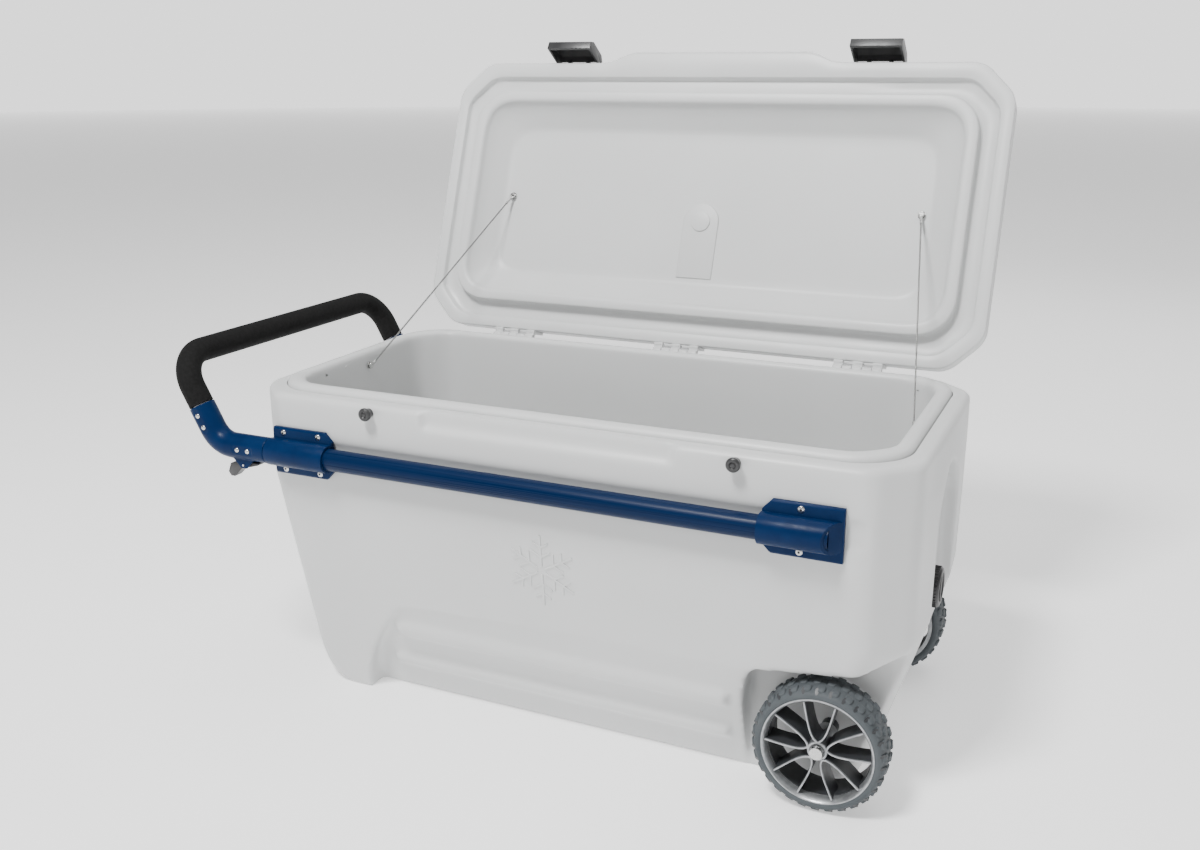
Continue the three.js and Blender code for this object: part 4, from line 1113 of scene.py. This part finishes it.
def addBracket(end, place):
    side = -1 if place == "front" else 1
    node = "bracket_" + end + "_" + place
    low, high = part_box(node)
    body = prism("body", bracketSection(side, False), "x", low.x, high.x)
    wall = side * (halfWidth + bracketSet["gap"])
    room = bracketSet["room"]
    # the flanges' inner corners are cut at a slant
    inner = high.x if end == "left" else low.x
    turn = -1 if end == "left" else 1
    for up in (-1, 1):
        tip = railHeight + up * bracketSet["slant"]
        wedge = [
            (inner - turn * 0.02, tip + up * 0.02), (inner - turn * 0.02, tip - up * 0.013),
            (inner, tip - up * 0.013), (inner + turn * 0.012, tip), (inner + turn * 0.012, tip + up * 0.02),
        ]
        span = sorted((wall - side * 0.02, wall + side * beyond))
        cut(body, prism("wedge", wedge, "y", span[0], span[1]))
    if end == "right":
        # the closed end falls away to the flange
        far = high.x
        ramp = [
            (far - 0.022, wall + side * 0.0345), (far + 0.02, wall + side * 0.0345),
            (far + 0.02, wall + side * 0.0045), (far - 0.001, wall + side * 0.0055),
        ]
        cut(body, prism("ramp", ramp, "z", railHeight - room, railHeight + room))
    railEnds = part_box("rail_" + place)
    start = low.x - 0.01
    stop = high.x + 0.01 if end == "left" else railEnds[1].x + 0.0003
    ends = [(x, side * railY, railHeight) for x in (start, stop)]
    cut(body, rod("channel", railRadius + bracketSet["gap"], *ends, 64))
    behind = sorted((wall, wall - side * 0.04))
    corner = (low.x - 0.01, behind[0], railHeight - room)
    cut(body, block("behind", corner, (high.x + 0.01, behind[1], railHeight + room)))
    rounded(body, 0.0014, 3, 25)
    body.name = "cover_" + end + "_" + place
    dress(body, "blueAnodised", "tub", [node], 35)
    out = Vector((0, side, 0))
    y = side * (halfWidth + bracketSet["plate"] + 0.0001)
    if end == "left":
        across = (low.x + 0.017, high.x - 0.022)
    else:
        across = (low.x + 0.046,)
    places = [(x, y, railHeight + up * bracketSet["screwRise"]) for up in (1, -1) for x in across]
    label = end + "_" + place
    heads("screws_" + label, places, out, bracketSet["screw"], bracketSet["screwHigh"], "brightSteel", "tub")
    # painted shade: a small dark dome on each screw head stands for the shade inside its socket
    sockets = [(x, y + side * bracketSet["screwHigh"] * 0.9, z) for x, y, z in places]
    size = (bracketSet["socket"], bracketSet["socketHigh"])
    heads("sockets_" + label, sockets, out, *size, "darkRecess", "tub", "bright_steel")


for place in ("front", "rear"):
    addRail(place)
    for end in ("left", "right"):
        addBracket(end, place)
print("rails and brackets made")

# pull handle

handleSet = {
    "bend": -0.039, "leg": 62, "legLength": 0.060, "elbow": 0.0183, "foam": 0.0175, "core": 0.0133,
    "rise": 0.120, "corner": 0.048, "rivet": 0.0036, "rivetHigh": 0.0019, "bore": 0.013, "curve": 0.026,
    "ear": 0.0015, "earPlace": 0.009, "padRadius": 0.0085, "padHalf": 0.0095, "padDeep": 0.0010,
}
legTurn = math.radians(handleSet["leg"])
legWay = Vector((-math.cos(legTurn), 0, math.sin(legTurn)))
bendX = -halfLength + handleSet["bend"]


def bezier(points, steps):
    found = []
    for i in range(steps + 1):
        t = i / steps
        level = [point.copy() for point in points]
        while len(level) > 1:
            level = [a.lerp(b, t) for a, b in zip(level, level[1:])]
        found.append(level[0])
    return found


def addElbow(place):
    side = -1 if place == "front" else 1
    node = "handle_elbow_" + place
    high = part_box(node)[1]
    corner = Vector((bendX, side * railY, railHeight))
    start = Vector((high.x, side * railY, railHeight))
    tip = corner + legWay * handleSet["legLength"]
    route = [start, start - Vector((0.003, 0, 0)), start - Vector((0.0031, 0, 0))]
    curve = handleSet["curve"]
    route += bezier([corner + Vector((curve, 0, 0)), corner, corner + legWay * curve], 18)
    route += [tip - legWay * 0.003, tip]
    body = sweep("elbow", route, handleSet["elbow"], 0, 56)
    centre = middleOf("lever_pin_" + place)
    for turn in (-1, 1):
        y = centre.y + turn * handleSet["earPlace"]
        top = railHeight - handleSet["elbow"] + 0.004
        outline = [
            (centre.x - 0.019, top), (centre.x - 0.005, centre.z - 0.005),
            (centre.x + 0.005, centre.z - 0.005), (centre.x + 0.019, top),
        ]
        weld(body, prism("ear", outline, "y", y - handleSet["ear"], y + handleSet["ear"]))
    # a shallow oval flat in each arm's outer face carries two rivets
    armPad = Vector((bendX + 0.052, side * railY, railHeight))
    for middle, way in ((corner + legWay * 0.038, legWay), (armPad, Vector((1, 0, 0)))):
        across = Vector((0, side, 0)).cross(way)
        oval = []
        for t in fullTurn(48):
            reach = math.copysign(handleSet["padHalf"], math.cos(t)) if abs(math.cos(t)) > 0.0001 else 0
            oval.append((reach + handleSet["padRadius"] * math.cos(t), handleSet["padRadius"] * math.sin(t)))
        lifted = Vector((0, side * (handleSet["elbow"] - handleSet["padDeep"]), 0))
        near = [middle + way * a + across * b + lifted for a, b in oval]
        far = [point + Vector((0, side * 0.006, 0)) for point in near]
        cut(body, loft("pad", [near, far]))
    soften(body, 0.0011, 2)
    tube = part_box("handle_tube_" + place)
    ends = [(x, side * railY, railHeight) for x in (tube[0].x - 0.0003, high.x + 0.03)]
    cut(body, rod("socket", handleSet["bore"], *ends, 48))
    bottom = corner + legWay * (handleSet["legLength"] - 0.034)
    cut(body, rod("legSocket", handleSet["bore"], bottom, tip + legWay * 0.01, 48))
    ends = [(centre.x, centre.y + turn * 0.015, centre.z) for turn in (-1, 1)]
    cut(body, rod("pinHole", 0.0019, *ends, 16))
    body.name = "casting_" + place
    dress(body, "blueAnodised", "handle", [node], 35)
    out = Vector((0, side, 0))
    y = side * (railY + handleSet["elbow"] - handleSet["padDeep"])
    spots = [corner + legWay * along for along in (0.029, 0.047)]
    spots += [Vector((bendX + along, 0, railHeight)) for along in (0.043, 0.061)]
    places = [(spot.x, y, spot.z) for spot in spots]
    heads("rivets_" + place, places, out, handleSet["rivet"], handleSet["rivetHigh"], "brightSteel", "handle")


def gripRoute(start):
    top = handleSet["rise"] / math.sin(legTurn)
    corner = handleSet["corner"]

    def at(side, along, inward=0.0):
        return Vector((bendX, side * (railY - inward), railHeight)) + legWay * along

    def half(side):
        curve = [
            at(side, top - corner), at(side, top - corner * 0.45), at(side, top, corner * 0.45),
            at(side, top, corner),
        ]
        return [at(side, start), at(side, start + 0.001), at(side, start + 0.003)] + bezier(curve, 20)

    return half(-1) + list(reversed(half(1)))


def addGrip():
    grip = sweep("grip", gripRoute(handleSet["legLength"] + 0.001), handleSet["foam"], handleSet["core"], 48)
    rounded(grip, 0.0012, 2, 60)
    dress(grip, "gripFoam", "handle", ["grip_foam"])


for place in ("front", "rear"):
    addElbow(place)
addGrip()
print("handle made")

# wheels

wheelSet = {
    "tyre": 0.084, "width": 0.054, "rim": 0.0697, "barrel": 0.0647, "blocks": 30, "slots": 30, "petals": 5,
    "shoulderDrop": 0.0024, "half": 17, "web": 0.0024, "hub": 0.013, "outer": 0.226, "petalDepth": 0.030,
}


def addTyre(place):
    side = -1 if place == "front" else 1
    w = wheelSet
    inner = Vector((wheelCentre.x, side * (w["outer"] - w["width"]), wheelCentre.z))
    high = w["tyre"]
    width = w["width"]
    carcass = [
        (w["rim"] + 0.0003, 0.002), (0.0722, 0.0006), (0.0745, 0.0), (0.0765, 0.0006), (0.0782, 0.0022),
        (0.0796, 0.0046),
        (high - 0.0030, 0.0085), (high - 0.0022, 0.013), (high - 0.0019, width / 2),
        (high - 0.0022, width - 0.013),
        (high - 0.0030, width - 0.0085), (0.0796, width - 0.0046), (0.0782, width - 0.0022),
        (0.0765, width - 0.0006),
        (0.0745, width), (0.0722, width - 0.0006), (w["rim"] + 0.0003, width - 0.002),
    ]
    tyre = lathe("tyre", carcass, inner, "y", side, 180)
    dress(tyre, "greyTyre", place + "_wheel", ["tyre_" + place], 50)
    tyre.name = "carcass_" + place
    # tread: rounded blocks in three staggered rows, each row one mesh
    step = 2 * math.pi / w["blocks"]
    rows = ((0.0105, 0.0, 0.0125, 0.60), (width / 2, 0.5, 0.0135, 0.56), (width - 0.0105, 0.0, 0.0125, 0.60))
    for row, (across, shift, wide, part) in enumerate(rows):
        arc = step * part / 2
        middle = math.pi / 2 + shift * step
        rings = []
        for level, size in ((high - 0.0045, 1.0), (high - 0.0012, 1.0), (high - 0.0003, 0.9), (high, 0.74)):
            ring = []
            for t in fullTurn(28):
                u = math.copysign(abs(math.cos(t)) ** 0.6, math.cos(t)) * size
                v = math.copysign(abs(math.sin(t)) ** 0.6, math.sin(t)) * size
                turn = middle + u * arc
                drop = w["shoulderDrop"] * max(0.0, v * (row - 1)) ** 2
                radius = level - drop
                y = across + v * wide / 2
                ring.append(inner + Vector((radius * math.cos(turn), side * y, radius * math.sin(turn))))
            rings.append(ring)
        tread = loft("tread_%s_%d" % (place, row + 1), rings)
        around(tread, w["blocks"], (0, step, 0), wheelCentre, "greyTyre")
        dress(tread, "greyTyre", place + "_wheel", (), 50)
    # a row of shallow slots round the outer shoulder, as thin dark lozenges a little proud of the tyre:
    # painted shade in the slots
    slot = []
    for depth, size in ((0.0008, 1.0), (-0.0016, 0.9)):
        ring = []
        for t in fullTurn(20):
            turn = math.pi / 2 + 0.25 * step + 0.028 * math.cos(t) * size
            along = 0.0034 * math.sin(t) * size
            radius = 0.0798 + depth + along
            y = width - 0.0050 + depth * 0.9 - along * 0.9
            ring.append(inner + Vector((radius * math.cos(turn), side * y, radius * math.sin(turn))))
        slot.append(ring)
    slots = loft("slots_" + place, slot)
    around(slots, w["slots"], (0, step, 0), wheelCentre, "darkRimAndSlotShade")
    dress(slots, "darkRimAndSlotShade", place + "_wheel", (), 50)


def petalRing(centre, side, y, wide):
    # the petal's centre line, widened on both sides: up one leg and down the other
    w = wheelSet
    outer = w["barrel"] + 0.0012

    def polar(radius, degrees):
        angle = math.pi / 2 + math.radians(degrees)
        return Vector((radius * math.cos(angle), 0, radius * math.sin(angle)))

    def leg(way):
        half = w["half"]
        return bezier([
            polar(outer, way * half), polar(0.042, way * half * 1.15), polar(0.019, way * half * 1.9),
            polar(w["hub"] - 0.0005, 0),
        ], 16)

    line = leg(1) + list(reversed(leg(-1)))[1:]
    rail = []
    for sense in (1, -1):
        edge = []
        for i, point in enumerate(line):
            before = line[max(0, i - 1)]
            after = line[min(len(line) - 1, i + 1)]
            run = (after - before).normalized()
            normal = Vector((-run.z, 0, run.x))
            edge.append(centre + point + normal * sense * wide / 2 + Vector((0, side * y, 0)))
        rail.append(edge)
    return rail[0] + list(reversed(rail[1]))


def addRim(place):
    side = -1 if place == "front" else 1
    w = wheelSet
    width = w["width"]
    inner = Vector((wheelCentre.x, side * (w["outer"] - width), wheelCentre.z))
    barrel = [
        (w["barrel"], 0.001), (w["rim"], 0.001), (w["rim"], width - 0.0040),
        (w["rim"] + 0.0012, width - 0.0028),
        (w["rim"] + 0.0008, width - 0.0012), (w["rim"] - 0.001, width - 0.0008),
        (w["rim"] - 0.0024, width - 0.0022),
        (w["barrel"] + 0.0005, width - 0.0085), (w["barrel"], width - 0.0105),
    ]
    rim = lathe("rim_" + place, barrel, inner, "y", side, 144)
    dress(rim, "silverEdge", place + "_wheel", ["wheel_rim_" + place])
    hubTop = width - 0.004
    hub = lathe("hub_" + place, [
        (0.0066, 0.0), (w["hub"], 0.0), (w["hub"], hubTop - 0.0012), (w["hub"] - 0.0010, hubTop),
        (w["hub"] - 0.0030, hubTop),
        (w["hub"] - 0.0038, hubTop - 0.0012), (0.0066, hubTop - 0.0012),
    ], inner, "y", side, 64)
    dress(hub, "silverEdge", place + "_wheel")
    top = width - 0.003
    low = top - w["petalDepth"]
    turn = 2 * math.pi / w["petals"]
    web = loft("webs_" + place, [
        petalRing(inner, side, low, w["web"] * 1.3), petalRing(inner, side, top - 0.0022, w["web"]),
    ])
    around(web, w["petals"], (0, turn, 0), wheelCentre, "darkRimAndSlotShade")
    dress(web, "darkRimAndSlotShade", place + "_wheel")
    bead = loft("petals_" + place, [
        petalRing(inner, side, top - 0.0023, w["web"] * 1.02),
        petalRing(inner, side, top - 0.0006, w["web"] * 1.02),
        petalRing(inner, side, top, w["web"] * 0.7),
    ])
    around(bead, w["petals"], (0, turn, 0), wheelCentre, "silverEdge")
    dress(bead, "silverEdge", place + "_wheel")
    # a dark band lines the barrel behind the bright edge
    band = lathe("barrel_" + place, [
        (w["barrel"] - 0.0008, 0.002), (w["barrel"] + 0.0004, 0.002), (w["barrel"] + 0.0004, width - 0.012),
        (w["barrel"] - 0.0008, width - 0.013),
    ], inner, "y", side, 144)
    dress(band, "darkRimAndSlotShade", place + "_wheel")


for place in ("front", "rear"):
    addTyre(place)
    addRim(place)
print("wheels made")

# drain cap

capSet = {"ribs": 36, "rib": 0.0011}


def addCap():
    low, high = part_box("drain_cap")
    centre = (low + high) / 2
    radius = (high.z - low.z) / 2
    deep = high.x - low.x
    start = Vector((low.x, centre.y, centre.z))
    cap = lathe("cap_body", [
        (0, deep - 0.0030), (0, deep - 0.0062), (0.0153, deep - 0.0062), (0.0153, 0.0),
        (radius - 0.0026, 0.0), (radius - 0.0014, 0.0012),
        (radius - 0.0014, deep - 0.0032), (radius - 0.0030, deep - 0.0008), (radius - 0.0052, deep),
        (radius - 0.0078, deep - 0.0004),
        (radius - 0.0094, deep - 0.0026),
    ], start, "x", 1, 72)
    dress(cap, "blackMoulding", "cap", ["drain_cap"])
    crest = radius - 0.0020
    outline = [
        start + Vector((0.0016, math.cos(t) * 0.0010, crest + math.sin(t) * capSet["rib"] * 1.8))
        for t in fullTurn(10)
    ]
    rib = loft("cap_ribs", [outline, [point + Vector((deep - 0.0050, 0, 0)) for point in outline]])
    around(rib, capSet["ribs"], (2 * math.pi / capSet["ribs"], 0, 0), centre, "blackMoulding")
    dress(rib, "blackMoulding", "cap")
    corner = (low.x + deep - 0.0036, centre.y - 0.0032, centre.z - radius + 0.0080)
    bar = block("cap_grip", corner, (high.x - 0.0006, centre.y + 0.0032, centre.z + radius - 0.0080))
    rounded(bar, 0.0014, 3)
    dress(bar, "blackMoulding", "cap")


addCap()

# plain snowflake, low relief on the front wall

flakeSet = {"centre": (-0.005, 0.254), "reach": 0.052, "proud": 0.0012, "line": 0.0030}


def addFlake():
    x, z = flakeSet["centre"]
    tilt = math.atan(tubSet["draft"])
    line = flakeSet["line"]
    arm = block("arm", (-line / 2, -flakeSet["proud"], 0.006), (line / 2, 0.001, flakeSet["reach"]))
    for up, reach in ((0.020, 0.014), (0.034, 0.011)):
        for turn in (-1, 1):
            outline = [
                (0, up - line * 0.5), (turn * reach, up + reach * 0.6 - line * 0.5),
                (turn * reach, up + reach * 0.6 + line * 0.5), (0, up + line * 0.5),
            ]
            weld(arm, prism("twig", outline, "y", -flakeSet["proud"], 0.001))
    around(arm, 6, (0, math.pi / 3, 0), (0, 0, 0), "whiteMoulding")
    rounded(arm, 0.0005, 2)
    place = Matrix.Translation((x, -halfWidth + wallDraft(z) - 0.0001, z)) @ Matrix.Rotation(tilt, 4, "X")
    arm.data.transform(place)
    arm.name = "snowflake"
    dress(arm, "whiteMoulding", "tub")


addFlake()

# floor and light

lightSet = {
    "key": ((-0.5, -1.9, 3.6), 0.8, 210), "side": ((2.7, -1.2, 2.2), 1.6, 4),
    "back": ((0.8, 2.8, 2.4), 2.2, 25), "wide": ((0.0, 0.6, 6.0), 5.0, 150),
}


lightAim = Vector((0, 0, 0.35))
worldStrength = 0.2
floorSet = {"reach": 30, "glow": 0.6}
wallSet = {"far": 26, "high": 6, "glow": 1.7}


def addLight(name, place, size, power):
    data = bpy.data.lights.new(name, "AREA")
    data.shape = "SQUARE"
    data.size = size
    data.energy = power
    lamp = bpy.data.objects.new(name, data)
    bpy.context.scene.collection.objects.link(lamp)
    aim = lightAim - Vector(place)
    lamp.matrix_world = Matrix.Translation(place) @ aim.to_track_quat("-Z", "Y").to_matrix().to_4x4()


def glowing(name, colour, roughness, strength):
    material, tree, shader, place = startMaterial(name, colour, roughness)
    shader.inputs["Emission Color"].default_value = (1, 1, 1, 1)
    shader.inputs["Emission Strength"].default_value = strength
    return material, tree, shader, place


def addFloor():
    reach = floorSet["reach"]
    corners = [(-reach, -reach, 0), (reach, -reach, 0), (reach, reach, 0), (-reach, reach, 0)]
    floor = makeMesh("floor", corners, [(0, 1, 2, 3)])
    pale, tree, shader, place = glowing("paleFloor", (0.86, 0.86, 0.86), 0.6, floorSet["glow"])
    unevenGloss(tree, shader, place, 6, 0.55, 0.65)
    floor.data.materials.append(pale)
    # a bright wall far round the scene keeps the floor from ending in a grey edge
    wall = lathe("far_wall", [(wallSet["far"], 0), (wallSet["far"], wallSet["high"])], (0, 0, 0), "z", 1, 96)
    wall.data.materials.append(glowing("farWall", (0.0, 0.0, 0.0), 1.0, wallSet["glow"])[0])
    world = bpy.data.worlds.new("world")
    world.use_nodes = True
    sky = world.node_tree.nodes["Background"]
    sky.inputs["Color"].default_value = (1, 1, 1, 1)
    sky.inputs["Strength"].default_value = worldStrength
    bpy.context.scene.world = world


addFloor()
for name, (place, size, power) in lightSet.items():
    addLight(name, place, size, power)
